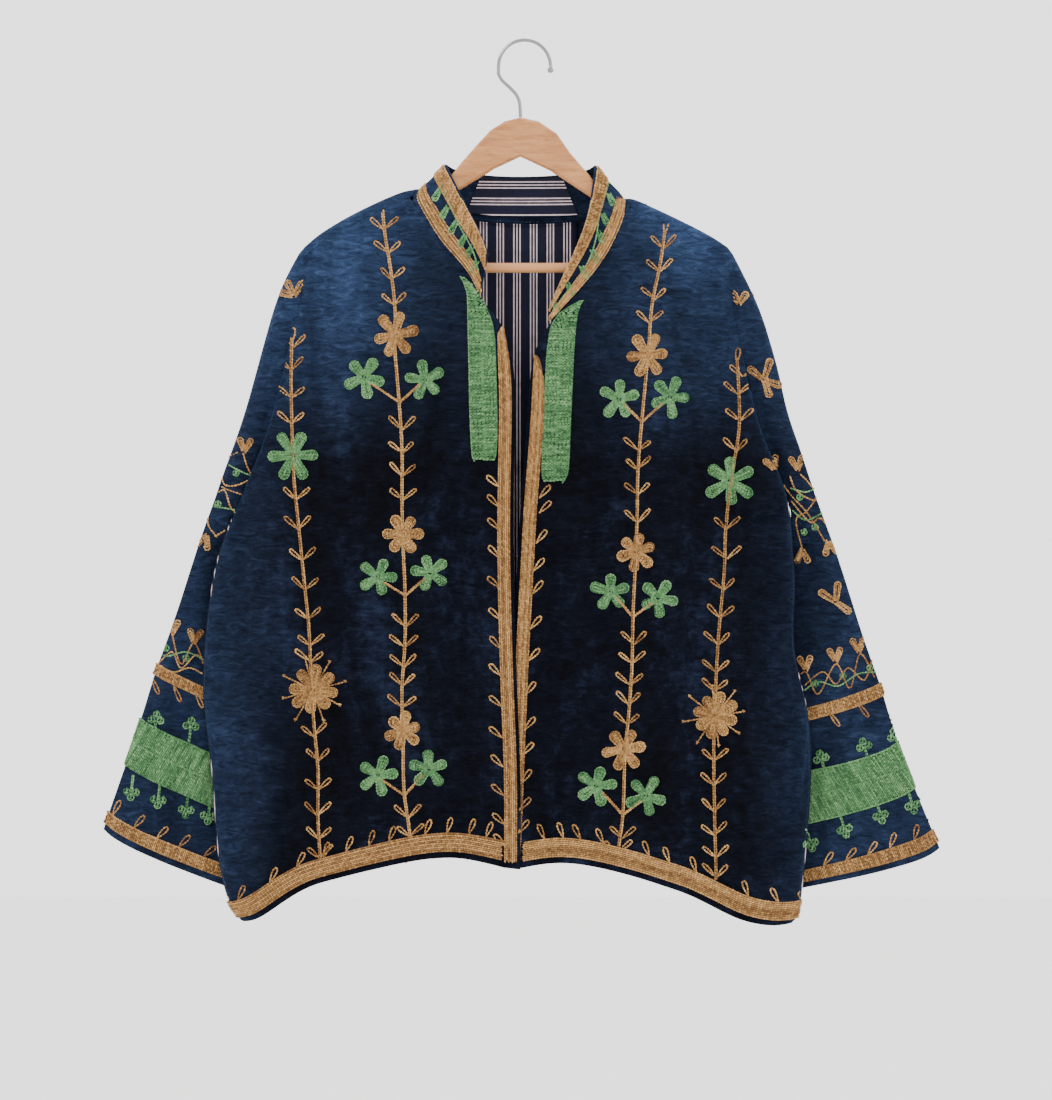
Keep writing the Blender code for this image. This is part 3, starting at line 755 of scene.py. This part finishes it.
def flower(surface, cx, cy, radius, count, thread, turn, threads):
    step = flowerLook["rowStep"]
    widest = min(flowerLook["petalHalf"] + 0.04 * radius, math.pi * radius * 0.62 / count)
    for k in range(count):
        angle = turn + 2 * math.pi * (k + hand.uniform(-0.08, 0.08)) / count
        end = radius * hand.uniform(0.9, 1.06)
        half = (widest - 0.6) * hand.uniform(0.92, 1.08)
        while half > 0.3:
            surface.lay(petalLoop(cx, cy, angle, radius * 0.16, end - 0.7, half), thread)
            end -= step
            half -= step
        start = radius * 0.2
        surface.lay([turned(cx, cy, angle, start + (end - start) * k / 4) for k in range(5)], thread)
        if threads:
            between = angle + math.pi / count
            far = turned(cx, cy, between, radius * hand.uniform(1.15, 1.35))
            near = turned(cx, cy, between, radius * 0.45)
            surface.lay(spread([near, far]), thread)
            surface.lay(ring(*far, 0.9), thread)
    heart = radius * flowerLook["heart"]
    while heart > 0.5:
        surface.lay(ring(cx, cy, heart), thread)
        heart -= step


def stem(surface, points, thread, half=0.85):
    course = spread(points)
    for shift in (-half, half):
        surface.lay([(x + shift, y) for x, y in course], thread)


vineLook = {
    "leafLong": 15.5,
    "leafWide": 3.9,
    "leafTurn": 0.82,
    "topLeaf": (0.1, 14, 5),    # turn, length, width
    "flowerSize": 1.05,
    "threadedCount": 8,    # a flower with so many petals has threads between them
    "narrowAtBack": 0.86,
}

vines = {
    # px of the points of each stem and of its leaf pairs and branches; of its flowers the middle, radius,
    # number of petals, thread and turn
    "innerRight": {
        "stem": [
            (382, 203), (385, 235), (391, 272), (395, 310), (395, 350), (399, 400), (402, 450), (402, 500),
            (403, 545), (405, 593), (405, 640), (402, 690), (403, 740), (404, 790), (409, 828), (409, 841)],
        "leaves": [
            (384, 224), (388, 248), (392, 274), (394, 299), (402, 424), (402, 448), (402, 471), (402, 495),
            (405, 622), (404, 642), (404, 661), (403, 681), (402, 703), (408, 813), (410, 831)],
        "flowers": [
            (395, 335, 22, 6, "tan", 0.3), (403, 534, 19.6, 6, "tan", 0.55), (403, 731, 18.5, 6, "tan", 0.2),
            (364, 377, 20.5, 5, "green", 0.5), (425, 380, 19.5, 5, "green", -0.2),
            (378, 577, 19.5, 5, "green", 0.4), (430, 573, 18.5, 5, "green", -0.25),
            (378, 775, 19.5, 5, "green", 0.3), (429, 769, 18.5, 5, "green", 0.0)],
        "branches": [
            ((399, 402), (372, 384)), ((400, 402), (419, 385)), ((404, 595), (385, 583)),
            ((406, 595), (424, 579)), ((404, 795), (384, 781)), ((405, 795), (422, 776))],
    },
    "outerRight": {
        "stem": [
            (292, 338), (291, 380), (292, 430), (294, 480), (299, 530), (304, 580), (309, 630), (311, 680),
            (314, 725), (318, 770), (318, 820), (321, 865), (323, 876)],
        "leaves": [
            (293, 342), (291, 364), (291, 393), (291, 419), (296, 495), (298, 524), (303, 555), (305, 584),
            (308, 614), (310, 640), (310, 657), (314, 731), (318, 755), (318, 785), (317, 810), (319, 834),
            (320, 853), (321, 872)],
        "flowers": [(293, 455, 25.5, 6, "green", 0.5), (313, 690, 25, 8, "tan", 0.1)],
        "branches": [],
    },
    "innerLeft": {
        "stem": [
            (665, 230), (660, 265), (652, 305), (648, 355), (642, 419), (638, 470), (637, 520), (635, 570),
            (633, 615), (632, 665), (629, 710), (625, 755), (623, 812), (619, 845), (618, 862)],
        "leaves": [
            (663, 243), (660, 266), (654, 294), (649, 318), (638, 445), (638, 464), (638, 490), (637, 518),
            (634, 639), (632, 658), (630, 680), (629, 700), (627, 720), (622, 833), (618, 847)],
        "flowers": [
            (647, 355, 21.5, 6, "tan", 0.5), (636, 552, 19.5, 6, "tan", 0.2), (624, 749, 20.5, 6, "tan", 0.4),
            (619, 399, 20, 5, "green", 0.1), (670, 397, 20, 5, "green", 0.45),
            (611, 592, 19.5, 5, "green", 0.0), (658, 598, 19, 5, "green", 0.5),
            (596, 786, 20, 5, "green", 0.25), (646, 796, 20, 5, "green", 0.5)],
        "branches": [
            ((641, 421), (625, 405)), ((643, 421), (662, 404)), ((632, 616), (617, 598)),
            ((634, 616), (651, 604)), ((622, 814), (603, 793)), ((624, 814), (640, 802))],
    },
    "outerLeft": {
        "stem": [
            (737, 358), (739, 395), (739, 430), (732, 475), (726, 525), (724, 575), (719, 630), (716, 680),
            (714, 730), (714, 780), (715, 830), (716, 872), (715, 893)],
        "leaves": [
            (743, 372), (738, 389), (740, 416), (736, 446), (726, 524), (727, 553), (723, 585), (720, 612),
            (718, 640), (716, 667), (715, 685), (714, 756), (714, 780), (714, 806), (715, 830), (716, 853),
            (716, 872)],
        "flowers": [(730, 481, 25.5, 6, "green", 0.0), (715, 716, 23, 8, "tan", 0.25)],
        "branches": [],
    },
}


def leafPair(surface, x, y):
    look = vineLook
    for way in (-1, 1):
        angle = way * (look["leafTurn"] + hand.uniform(-0.1, 0.1))
        long = look["leafLong"] * hand.uniform(0.88, 1.1)
        wide = look["leafWide"] * hand.uniform(0.85, 1.1)
        foot = (x + way * 1.4, y + 4 + hand.uniform(-1, 1))
        surface.lay(leafLoop(*foot, angle, long, wide), "tan")


def workVines(surface):
    surface.narrow = vineLook["narrowAtBack"]
    surface.offHem = True
    surface.keepTo = ("front_right", "front_left") if surface.side == "front" else ("back",)
    for vine in vines.values():
        stem(surface, vine["stem"], "tan")
        x, y = vine["stem"][0]
        surface.lay(leafLoop(x, y + 4, *vineLook["topLeaf"]), "tan")
        for x, y in vine["leaves"]:
            leafPair(surface, x, y)
        for points in vine["branches"]:
            stem(surface, points, "tan", 0.8)
        for x, y, radius, count, thread, turn in vine["flowers"]:
            threads = count == vineLook["threadedCount"]
            flower(surface, x, y, radius * vineLook["flowerSize"], count, thread, turn, threads)
    surface.narrow = 1.0
    surface.keepTo = None


sprigs = [
    # turn, how far the turn wanders, whether it stands above the hem, px of the foot of each sprig
    (-0.80, 0.08, False, [
        (498, 486), (498, 506), (499, 529), (499, 557), (499, 587), (500, 619), (500, 648), (500, 675),
        (501, 706), (501, 737), (502, 766), (503, 795), (504, 824), (505, 845)]),
    (0.72, 0.08, False, [
        (540, 497), (540, 512), (537, 542), (534, 570), (533, 593), (531, 628), (529, 660), (526, 694),
        (525, 729), (523, 754), (522, 782), (520, 809), (519, 832)]),
    (0.42, 0.12, True, [
        (238, 898), (270, 896), (297, 890), (324, 872), (346, 874), (369, 862), (389, 851), (425, 842),
        (447, 841), (469, 847), (486, 850)]),
    (-0.42, 0.12, True, [
        (544, 852), (563, 850), (580, 848), (603, 858), (649, 873), (669, 880), (696, 885), (748, 901),
        (778, 908), (806, 905)]),
]


def workSprigs(surface):
    for turn, wander, atHem, feet in sprigs:
        if surface.side == "back" and not atHem:
            continue
        for x, y in feet:
            foot = aboveHem(surface, x, y) if atHem else y
            surface.lay(leafLoop(x, foot, turn + hand.uniform(-wander, wander)), "tan")
    surface.offHem = False


# The sleeves: hearts, a lattice with berries, drops under the forearm band, trefoils by the green band

sleeveLook = {
    "dropSize": (17, 4),
    "heartTurn": 0.42,
    # start, end and half width of two loops, one inside the other, and the sizes of two rings
    "heartLoops": ((0.5, 15, 2.6), (2.0, 12.6, 0.8)),
    "berryRings": (2.9, 1.1),
    "budRings": (3.1, 1.2),
    "budPlaces": ((21.5, 0), (16, -4.6), (16, 4.6)),
}

sleeveWork = {
    # px, turn and length of petals; px and turn of hearts, drops, trefoils and cuff sprigs;
    # px of the points of lines and berries
    "right": {
        "petals": [(294, 296, 5, 19), (294, 296, -0.45, 17), (294, 296, 0.55, 17), (294, 296, -1.3, 15)],
        "hearts": [(244, 452, 0.12), (207, 535, 3.55), (172, 634, 0.05), (194, 643, 0.12), (150, 626, -0.1)],
        "tanLines": [
            [(238, 452), (224, 462), (223, 482), (232, 486), (247, 481), (262, 470)],
            [(243, 453), (247, 466), (254, 480)], [(214, 482), (226, 489), (240, 494), (252, 500)],
            [(212, 498), (224, 490), (230, 506), (238, 520), (216, 536)],
            [(216, 536), (208, 524), (210, 508), (214, 496)],
            [(172, 634), (181, 664), (194, 643), (205, 668)],
            [(158, 664), (172, 652), (181, 668), (196, 655), (206, 664)],
            [(160, 646), (156, 660), (172, 672), (190, 668), (206, 676)]],
        "greenLines": [
            [(222, 461), (240, 471), (262, 480)], [(210, 506), (224, 508), (244, 512)],
            [(152, 648), (166, 656), (186, 652), (204, 660)]],
        "berries": [(236, 473), (218, 504), (166, 648), (186, 658), (152, 641)],
        "drops": [(152, 678, 2.75), (174, 686, 2.75), (196, 692, 2.75)],
        "trefoils": [
            (154, 736, 0.12), (189, 742, 0.12), (126, 722, 0.12), (133, 776, 3.25), (160, 784, 3.25),
            (188, 794, 3.25), (210, 800, 3.25)],
        "cuffSprigs": [(113, 822, 0.5), (134, 832, 0.75), (157, 841, 0.8), (179, 848, 0.8), (204, 856, 0.9)],
    },
    "left": {
        "petals": [
            (739, 304, -0.5, 14), (739, 304, 0.6, 14), (764, 380, 0.3, 22), (764, 380, -0.9, 20),
            (764, 380, 1.9, 18), (764, 380, 2.8, 18), (836, 602, -1.0, 20), (836, 602, 0.1, 20),
            (836, 602, 2.2, 18)],
        "hearts": [
            (798, 470, -0.15), (775, 470, -0.4), (802, 549, 3.1), (828, 541, 2.9), (806, 670, -0.1),
            (836, 662, -0.1), (859, 652, -0.1)],
        "tanLines": [
            [(776, 474), (790, 494), (808, 514), (824, 540)],
            [(800, 474), (808, 482), (816, 496), (806, 512), (796, 520), (802, 548)],
            [(790, 476), (796, 490), (812, 500), (822, 498)],
            [(792, 502), (810, 522), (820, 518), (830, 530)],
            [(796, 680), (806, 672), (818, 694), (836, 664), (850, 688), (860, 654), (874, 676)],
            [(800, 690), (822, 672), (836, 684), (848, 668), (864, 680), (872, 660)]],
        "greenLines": [
            [(792, 510), (806, 520), (824, 512)], [(790, 488), (806, 492), (818, 486)],
            [(800, 694), (818, 682), (838, 686), (858, 674), (876, 672)]],
        "berries": [(800, 497), (815, 527), (804, 532), (815, 684), (843, 676), (870, 668)],
        "drops": [(829, 712, 2.5), (858, 703, 2.5), (884, 696, 2.5)],
        "trefoils": [
            (826, 774, -0.3), (869, 762, -0.3), (900, 752, -0.3), (806, 828, 2.85), (840, 814, 2.85),
            (876, 800, 2.85), (908, 790, 2.85)],
        "cuffSprigs": [(824, 872, 0.6), (846, 868, 0.7), (868, 860, 0.6), (890, 852, 0.35), (914, 842, 0.25)],
    },
}


def trefoil(surface, x, y, angle):
    stem(surface, [(x, y), turned(x, y, angle, 15)], "green", 0.7)
    for along, across in sleeveLook["budPlaces"]:
        rings(surface, *turned(x, y, angle, along, across), sleeveLook["budRings"], "green")


def workSleeve(surface, name):
    work = sleeveWork[name]
    look = sleeveLook
    only = ("sleeve_right", "sleeve_left")
    for x, y, angle, long in work["petals"]:
        petals(surface, x, y, angle, ((1, long, 3.2), (2, long - 2, 1.4)), "tan", only)
    for x, y, angle in work["hearts"]:
        for way in (-1, 1):
            petals(surface, x, y, angle + way * look["heartTurn"], look["heartLoops"], "tan")
    for thread in ("tan", "green"):
        for points in work[thread + "Lines"]:
            surface.lay(spread(points), thread, only)
    for x, y in work["berries"]:
        rings(surface, x, y, look["berryRings"], "green", only)
    for x, y, angle in work["drops"]:
        surface.lay(leafLoop(x, y, angle, *look["dropSize"]), "tan")
    for x, y, angle in work["trefoils"]:
        trefoil(surface, x, y, angle)
    for x, y, angle in work["cuffSprigs"]:
        surface.lay(leafLoop(x, aboveHem(surface, x, y), angle), "tan")
    surface.offHem = False


collarWork = {
    # turn of the leaves, px of the middle of each leaf, px of the stem
    "right": (3.67, [(437, 194.5), (444.5, 212), (453, 227.5), (462, 241), (469, 252), (474, 266)],
              [(441, 181), (449, 203), (458, 223), (468, 241), (475, 257), (479, 275)]),
    "left": (2.70, [(611, 199), (605, 219), (601, 237), (595, 256), (584, 272), (570, 289), (557, 309)],
             [(609, 182), (600, 212), (596, 238), (589, 260), (577, 279), (563, 297), (554, 310)]),
    "middleLeaf": 6.75,
    "leafLoops": ((0.5, 13.5, 2.9), (2.0, 11.8, 1.2)),
    "neckLoops": ((0, 13, 3.2), (1, 11, 1.5)),
    "neckLeaves": 11,
    "neckStep": 15.5,
    "neckTop": (524, 193),
}


def workCollar(surface):
    work = collarWork
    only = ("collar",)
    surface.side = "front"
    for name in ("right", "left"):
        turn, leaves, course = work[name]
        for x, y in leaves:
            foot = turned(x, y, turn, -work["middleLeaf"])
            petals(surface, *foot, turn, work["leafLoops"], "green", only)
        surface.lay(spread(course), "green", only)
    surface.side = "back"
    middle, top = work["neckTop"]
    for k in range(work["neckLeaves"]):    # the same leaves go on round the back of the neck
        away = (k - work["neckLeaves"] // 2) * work["neckStep"]
        petals(surface, middle + away, top - 0.0011 * away ** 2, 0.9, work["neckLoops"], "green", only)


# The two green plackets at the neck: zigzag rows from edge to edge inside one outline

placketLook = {"rowStep": 1.45, "inset": 1.2, "leastWide": 4, "halfStep": 0.9}    # px

placketWork = {
    "right": {
        "outer": [(461, 277), (467, 293), (468, 320), (469, 360), (470, 410), (472, 452), (474, 460)],
        "inner": [
            (463, 277), (478, 291), (488, 312), (494, 335), (496, 380), (497, 430), (496, 452), (494, 460)],
    },
    "left": {
        "outer": [(582, 301), (577, 316), (574, 345), (572, 385), (570, 430), (568, 470), (563, 482)],
        "inner": [
            (580, 301), (563, 311), (553, 323), (549, 338), (546, 370), (544, 420), (542, 470), (545, 482)],
    },
}


def acrossAt(points, y):
    for (ax, ay), (bx, by) in zip(points, points[1:]):
        if ay <= y <= by:
            return ax + (bx - ax) * (y - ay) / (by - ay)
    return points[-1][0]


def workPlackets(surface):
    look = placketLook
    surface.side = "front"
    for name, edges in placketWork.items():
        only = ("front_" + name,)
        outer = spread(edges["outer"])
        inner = spread(edges["inner"])
        surface.lay(outer + inner[::-1] + outer[:1], "green", only)
        y = outer[0][1] + 2
        row = 0
        while y < min(outer[-1][1], inner[-1][1]) - 1:
            a = acrossAt(outer, y)
            b = acrossAt(inner, y)
            if abs(b - a) > look["leastWide"]:
                inset = math.copysign(look["inset"], b - a)
                a += inset
                b -= inset
                middle = (a + b) / 2
                low = y + look["halfStep"]
                halves = ([(a, y), (middle, y + hand.uniform(-0.3, 0.3))], [(middle, low), (b, low)])
                for half in halves:
                    part = spread(half)
                    surface.lay(part[::-1] if row % 2 else part, "green", only)
            y += look["rowStep"]
            row += 1


# Bands worked solid: the rows run between the two long edges of the band's own outer face

def outerSkin(shape, way):
    way = Vector(way)
    facing = [f for f in shape.faces if f.normal.dot(way) > 0.5]
    seed = max(facing, key=lambda f: f.calc_center_median().dot(way))
    skin = {seed}
    waiting = [seed]
    while waiting:
        face = waiting.pop()
        for edge in face.edges:
            for other in edge.link_faces:
                if other not in skin and face.normal.angle(other.normal, 0) < sharpTurn:
                    skin.add(other)
                    waiting.append(other)
    return skin


def chainsOf(edges):
    # edges as closed loops of vertices
    near = {}
    for edge in edges:
        a, b = edge.verts
        near.setdefault(a, []).append(b)
        near.setdefault(b, []).append(a)
    loops = []
    seen = set()
    for start in near:
        if start in seen:
            continue
        loop = []
        ahead = [start]
        while ahead:
            here = ahead[0]
            seen.add(here)
            loop.append(here)
            ahead = [v for v in near[here] if v not in seen]
        loops.append(loop)
    return loops


def alongShares(points, count):
    # points at even steps along a line, and the length of the line
    lengths = [0.0]
    for a, b in zip(points, points[1:]):
        lengths.append(lengths[-1] + (b - a).length)
    out = []
    k = 0
    for i in range(count + 1):
        aim = lengths[-1] * i / count
        while k < len(points) - 2 and lengths[k + 1] < aim:
            k += 1
        span = max(1e-9, lengths[k + 1] - lengths[k])
        out.append(points[k].lerp(points[k + 1], clamp((aim - lengths[k]) / span)))
    return out, lengths[-1]


endSearch = {
    "turnOver": 4,    # vertices before and after an end, between which the turn is measured
    "farthest": 24,    # vertices
    "longest": 0.045,    # metres
    "lengthCost": 4,    # radians less for each metre of an end
    "apart": 5,    # the two ends are more than this share of the edge apart: one in five
}


def longSides(loops):
    # the two long edges of a band, running the same way, and whether it goes right round
    if len(loops) == 2:
        sides = []
        for loop in loops:
            places = [v.co.copy() for v in loop]
            start = max(range(len(places)), key=lambda i: abs(places[i].x))
            places = places[start:] + places[:start]
            turn = sum(a.x * b.y - b.x * a.y for a, b in zip(places, places[1:] + places[:1]))
            if turn < 0:
                places = [places[0]] + places[:0:-1]
            sides.append(places + [places[0]])
        sides.sort(key=lambda s: -sum(p.z for p in s) / len(s))
        return sides, True
    places = [v.co.copy() for v in max(loops, key=len)]
    count = len(places)
    over = endSearch["turnOver"]
    ends = []    # a short end is a stretch of edge over which the way turns right round
    for i in range(count):
        before = places[i] - places[i - over]
        reach = 0.0
        for k in range(1, endSearch["farthest"]):
            j = (i + k) % count
            reach += (places[j] - places[j - 1]).length
            if reach > endSearch["longest"]:
                break
            after = places[(j + over) % count] - places[j]
            ends.append((before.angle(after, 0) - reach * endSearch["lengthCost"], i, j))
    ends.sort(reverse=True)
    one = ends[0]
    apart = count // endSearch["apart"]
    other = next(e for e in ends if min((e[1] - one[1]) % count, (one[1] - e[1]) % count) > apart)
    corners = sorted([*one[1:], *other[1:]])
    parts = []
    for a, b in zip(corners, corners[1:] + corners[:1]):
        if b <= a:
            b += count
        parts.append([places[i % count] for i in range(a, b + 1)])
    parts.sort(key=lambda p: -sum((b - a).length for a, b in zip(p, p[1:])))
    first, second = parts[:2]
    if (first[0] - second[0]).length > (first[0] - second[-1]).length:
        second.reverse()
    return [first, second], False


bandSteps = {"across": 0.004, "point": 0.005}    # metres between the points that rows are laid through


def fillBand(node, piece, way):
    panel, thread, *rest, run, blocks = bands[node]
    shape = bmesh.new()
    shape.from_mesh(piece.data)
    skin = outerSkin(shape, way)
    rim = [e for e in shape.edges if sum(f in skin for f in e.link_faces) == 1]
    sides, closed = longSides(chainsOf(rim))
    faces = [[v.index for v in f.verts] for f in skin]
    tree = BVHTree.FromPolygons([v.co.copy() for v in shape.verts], faces)
    shape.free()
    total = max(alongShares(side, 2)[1] for side in sides)

    def ladder(count):
        return list(zip(*(alongShares(side, count)[0] for side in sides)))

    def onSkin(a, b, share):
        return tree.find_nearest(a.lerp(b, share))[:2]

    rungs = ladder(max(8, int(total / bandSteps["across"])))
    wide = sum((a - b).length for a, b in rungs) / len(rungs)
    count = max(2, round(wide / rowStep))
    edgeRows = range(count) if run == "along" else [0, count - 1]
    if blocks == 2:
        edgeRows = [0, count // 2, count - 1]
    for k in edgeRows:
        keepRow(panel, thread, [onSkin(a, b, (k + 0.5) / count) for a, b in rungs])
    if run == "across":
        rungs = ladder(max(8, int(total / rowStep)))
        if closed:
            rungs.pop()
        gap = 1.0 / count
        for k in range(blocks):
            low = gap + (1 - gap) * k / blocks
            high = (1 - gap) * (k + 1) / blocks
            steps = max(3, int(wide * (high - low) / bandSteps["point"]))
            for i, (a, b) in enumerate(rungs):
                row = [onSkin(a, b, low + (high - low) * j / steps) for j in range(steps + 1)]
                if i % 2:
                    row.reverse()
                keepRow(panel, thread, row)
    if way == toFront and not closed and panel.startswith("sleeve"):
        fillBand(node, piece, toBack)    # a flattened tube has a second face behind


def linkMesh():
    # one link of chain stitch, a unit long: two strands that part and meet, with a groove between
    stations = [(-0.56, 0.20, 0.55), (0.10, 0.50, 1.0), (0.56, 0.26, 0.7)]
    across = [(-1, -0.3), (-0.52, 1), (0, 0.35), (0.52, 1), (1, -0.3)]
    places = [(x, half * a, high * h) for x, half, high in stations for a, h in across]
    faces = [(a, a + 5, a + 6, a + 1) for i in (0, 5) for a in range(i, i + 4)]
    mesh = bpy.data.meshes.new("chainLink")
    mesh.from_pydata(places, [], faces)
    mesh.polygons.foreach_set("use_smooth", [True] * len(faces))
    return link("chainLink", mesh)


def stitchTree():
    tree = bpy.data.node_groups.new("chainStitch", "GeometryNodeTree")
    sockets = tree.interface
    sockets.new_socket("Geometry", in_out="INPUT", socket_type="NodeSocketGeometry")
    sockets.new_socket("Geometry", in_out="OUTPUT", socket_type="NodeSocketGeometry")
    for name in stitchLook:
        kind = "NodeSocketInt" if name == "Seed" else "NodeSocketFloat"
        sockets.new_socket(name, in_out="INPUT", socket_type=kind)
    sockets.new_socket("Link", in_out="INPUT", socket_type="NodeSocketObject")
    sockets.new_socket("Thread", in_out="INPUT", socket_type="NodeSocketMaterial")
    given = addNode(tree, "NodeGroupInput").outputs
    seed = given["Seed"]

    def chance(low, high, draw=seed):
        inputs = {"Min": low, "Max": high, "Seed": draw}
        return outOf(tree, "FunctionNodeRandomValue", inputs, "Value")

    def kept(name, kind):
        return outOf(tree, "GeometryNodeInputNamedAttribute", {"Name": name}, "Attribute", data_type=kind)

    def scaled(vector, scale):
        inputs = {0: vector, "Scale": scale}
        return outOf(tree, "ShaderNodeVectorMath", inputs, "Vector", operation="SCALE")

    course = outOf(tree, "GeometryNodeMeshToCurve", {"Mesh": given["Geometry"]}, "Curve")
    even = outOf(tree, "GeometryNodeResampleCurve", {"Curve": course, "Length": given["Stitch length"]},
                 mode="LENGTH")
    normal = kept("clothNormal", "FLOAT_VECTOR")
    raised = outOf(tree, "GeometryNodeSetPosition", {
        "Geometry": even, "Offset": scaled(normal, given["Lift"])})
    upright = outOf(tree, "FunctionNodeAlignRotationToVector", {"Vector": normal}, axis="Z")
    tangent = outOf(tree, "GeometryNodeInputTangent")
    along = outOf(tree, "FunctionNodeAlignRotationToVector", {"Rotation": upright, "Vector": tangent},
                  axis="X", pivot_axis="Z")
    most = given["Turn change"]
    angle = chance(maths(tree, "MULTIPLY", most, -1.0), most)
    twist = outOf(tree, "FunctionNodeAxisAngleToRotation", {"Axis": (0, 0, 1), "Angle": angle})
    turnedBy = outOf(tree, "FunctionNodeRotateRotation", {"Rotation": along, "Rotate By": twist},
                     rotation_space="LOCAL")
    change = given["Size change"]
    size = chance(maths(tree, "SUBTRACT", 1.0, change), maths(tree, "ADD", 1.0, change),
                  maths(tree, "ADD", seed, 7.0))
    form = outOf(tree, "ShaderNodeCombineXYZ", {
        "X": given["Stitch length"], "Y": given["Stitch width"], "Z": given["Stitch height"]})
    source = outOf(tree, "GeometryNodeObjectInfo", {"Object": given["Link"]}, "Geometry")
    links = outOf(tree, "GeometryNodeInstanceOnPoints", {
        "Points": raised, "Instance": source, "Rotation": turnedBy, "Scale": scaled(form, size)})
    shade = maths(tree, "ADD", chance(0.0, 1.0), kept("rowShade", "FLOAT"))
    shaded = outOf(tree, "GeometryNodeStoreNamedAttribute", {
        "Geometry": links, "Name": "threadShade", "Value": maths(tree, "MULTIPLY", shade, 0.5)},
        data_type="FLOAT", domain="INSTANCE")
    solid = outOf(tree, "GeometryNodeRealizeInstances", {"Geometry": shaded})
    finish = outOf(tree, "GeometryNodeSetMaterial", {"Geometry": solid, "Material": given["Thread"]})
    addNode(tree, "NodeGroupOutput", {"Geometry": finish})
    return tree


def rowsMesh(name, found, seed):
    chance = random.Random(seed)
    places = []
    normals = []
    shades = []
    edges = []
    for row in found:
        start = len(places)
        rowShade = chance.random()
        span = (row[1][0] - row[0][0]).length
        ease = min(0.9, chance.uniform(0, stitchLook["Stitch length"]) / max(span, 0.0001))
        row = [(row[0][0].lerp(row[1][0], ease), row[0][1])] + row[1:]    # no two rows start in step
        for place, normal in row:
            places.append(place)
            normals += list(normal)
            shades.append(rowShade)
        edges += [(start + i, start + i + 1) for i in range(len(row) - 1)]
    mesh = bpy.data.meshes.new(name)
    mesh.from_pydata(places, edges, [])
    mesh.attributes.new("clothNormal", "FLOAT_VECTOR", "POINT").data.foreach_set("vector", normals)
    mesh.attributes.new("rowShade", "FLOAT", "POINT").data.foreach_set("value", shades)
    return mesh


def sew(panel, thread, found, tree, chainLink, material):
    name = "stitches_" + panel + "_" + thread
    piece = link(name, rowsMesh(name + "_rows", found, len(found)))
    modifier = piece.modifiers.new("chainStitch", "NODES")
    modifier.node_group = tree
    values = {**stitchLook, "Link": chainLink, "Thread": material}
    for item in tree.interface.items_tree:
        if item.name in values:
            modifier[item.identifier] = values[item.name]
    graph = bpy.context.evaluated_depsgraph_get()
    graph.update()
    mesh = bpy.data.meshes.new_from_object(piece.evaluated_get(graph))
    mesh.name = name
    piece.modifiers.clear()
    piece.data = mesh
    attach(piece, "root")
    if thread == "green" and panel.startswith("front"):
        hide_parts(panel.replace("front", "placket"))
    return len(mesh.polygons) * 2


def giveMaterial(node, material):
    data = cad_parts[node].data
    data.materials.clear()
    data.materials.append(material)


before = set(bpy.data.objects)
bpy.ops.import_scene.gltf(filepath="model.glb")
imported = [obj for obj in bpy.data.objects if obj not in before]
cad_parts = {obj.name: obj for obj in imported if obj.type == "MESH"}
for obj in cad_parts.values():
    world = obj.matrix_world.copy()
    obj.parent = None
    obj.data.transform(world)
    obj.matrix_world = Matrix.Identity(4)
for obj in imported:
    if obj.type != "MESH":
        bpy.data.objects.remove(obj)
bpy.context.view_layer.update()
makeCamera()
makeStudio()
velvet = velvetMaterial()
looks = {name: threadMaterial(name) for name in threadLook}
print("stage: camera, lights and materials are made")
cloth = {}
for node, (move, flat, area) in clothPieces.items():
    piece = smoothCopy(node, node + "_cloth", velvet, move)
    dress(piece, node)
    cloth[node] = piece
for node, (panel, thread, move, *rest) in bands.items():
    # each band's ground gets the darker ground colour, painted shade between its stitches
    piece = smoothCopy(node, node + "_ground", looks[thread + "Ground"], move)
    dress(piece, node)
    cloth[node] = piece
sewnTo = ["back"]
for node in ("front_right", "front_left"):
    closeSeams(node, sewnTo)
sewnTo += ["front_right", "front_left"]
for node in ("sleeve_right", "sleeve_left", "collar"):
    closeSeams(node, sewnTo)
liningDown = liningMaterial("liningDown", "X", 0.0092)
liningAcross = liningMaterial("liningAcross", "Z", -0.1579)
for node, way in lined["pieces"].items():
    lineInside(cloth[node], liningDown, way)
print("stage: cloth is smoothed, creased and drawn together at the seams")
surface = Surface(cloth)
for node, (panel, thread, move, way, *rest) in bands.items():
    fillBand(node, cloth[node], way)
for side in ("front", "back"):
    surface.side = side
    workVines(surface)
    workSprigs(surface)
    for name in ("right", "left"):
        workSleeve(surface, name)
workCollar(surface)
workPlackets(surface)
print("stage: rows are laid,", sum(len(found) for found in rows.values()))
chainLink = linkMesh()
tree = stitchTree()
triangles = 0
for (panel, thread), found in sorted(rows.items()):
    triangles += sew(panel, thread, found, tree, chainLink, looks[thread + "Thread"])
bpy.data.objects.remove(chainLink)
print("stage: stitches are worked,", triangles, "triangles")
lining = smoothCopy("back_lining", "back_lining_cloth", liningDown, liningMove)
dress(lining, "back_lining")
giveMaterial("collar_facing", liningAcross)
giveMaterial("hanger_wood", woodMaterial("varnishedWood"))
giveMaterial("hanger_bar", woodMaterial("barWood"))
giveMaterial("hanger_hook", steelMaterial())
print("stage: lining and hanger are dressed")
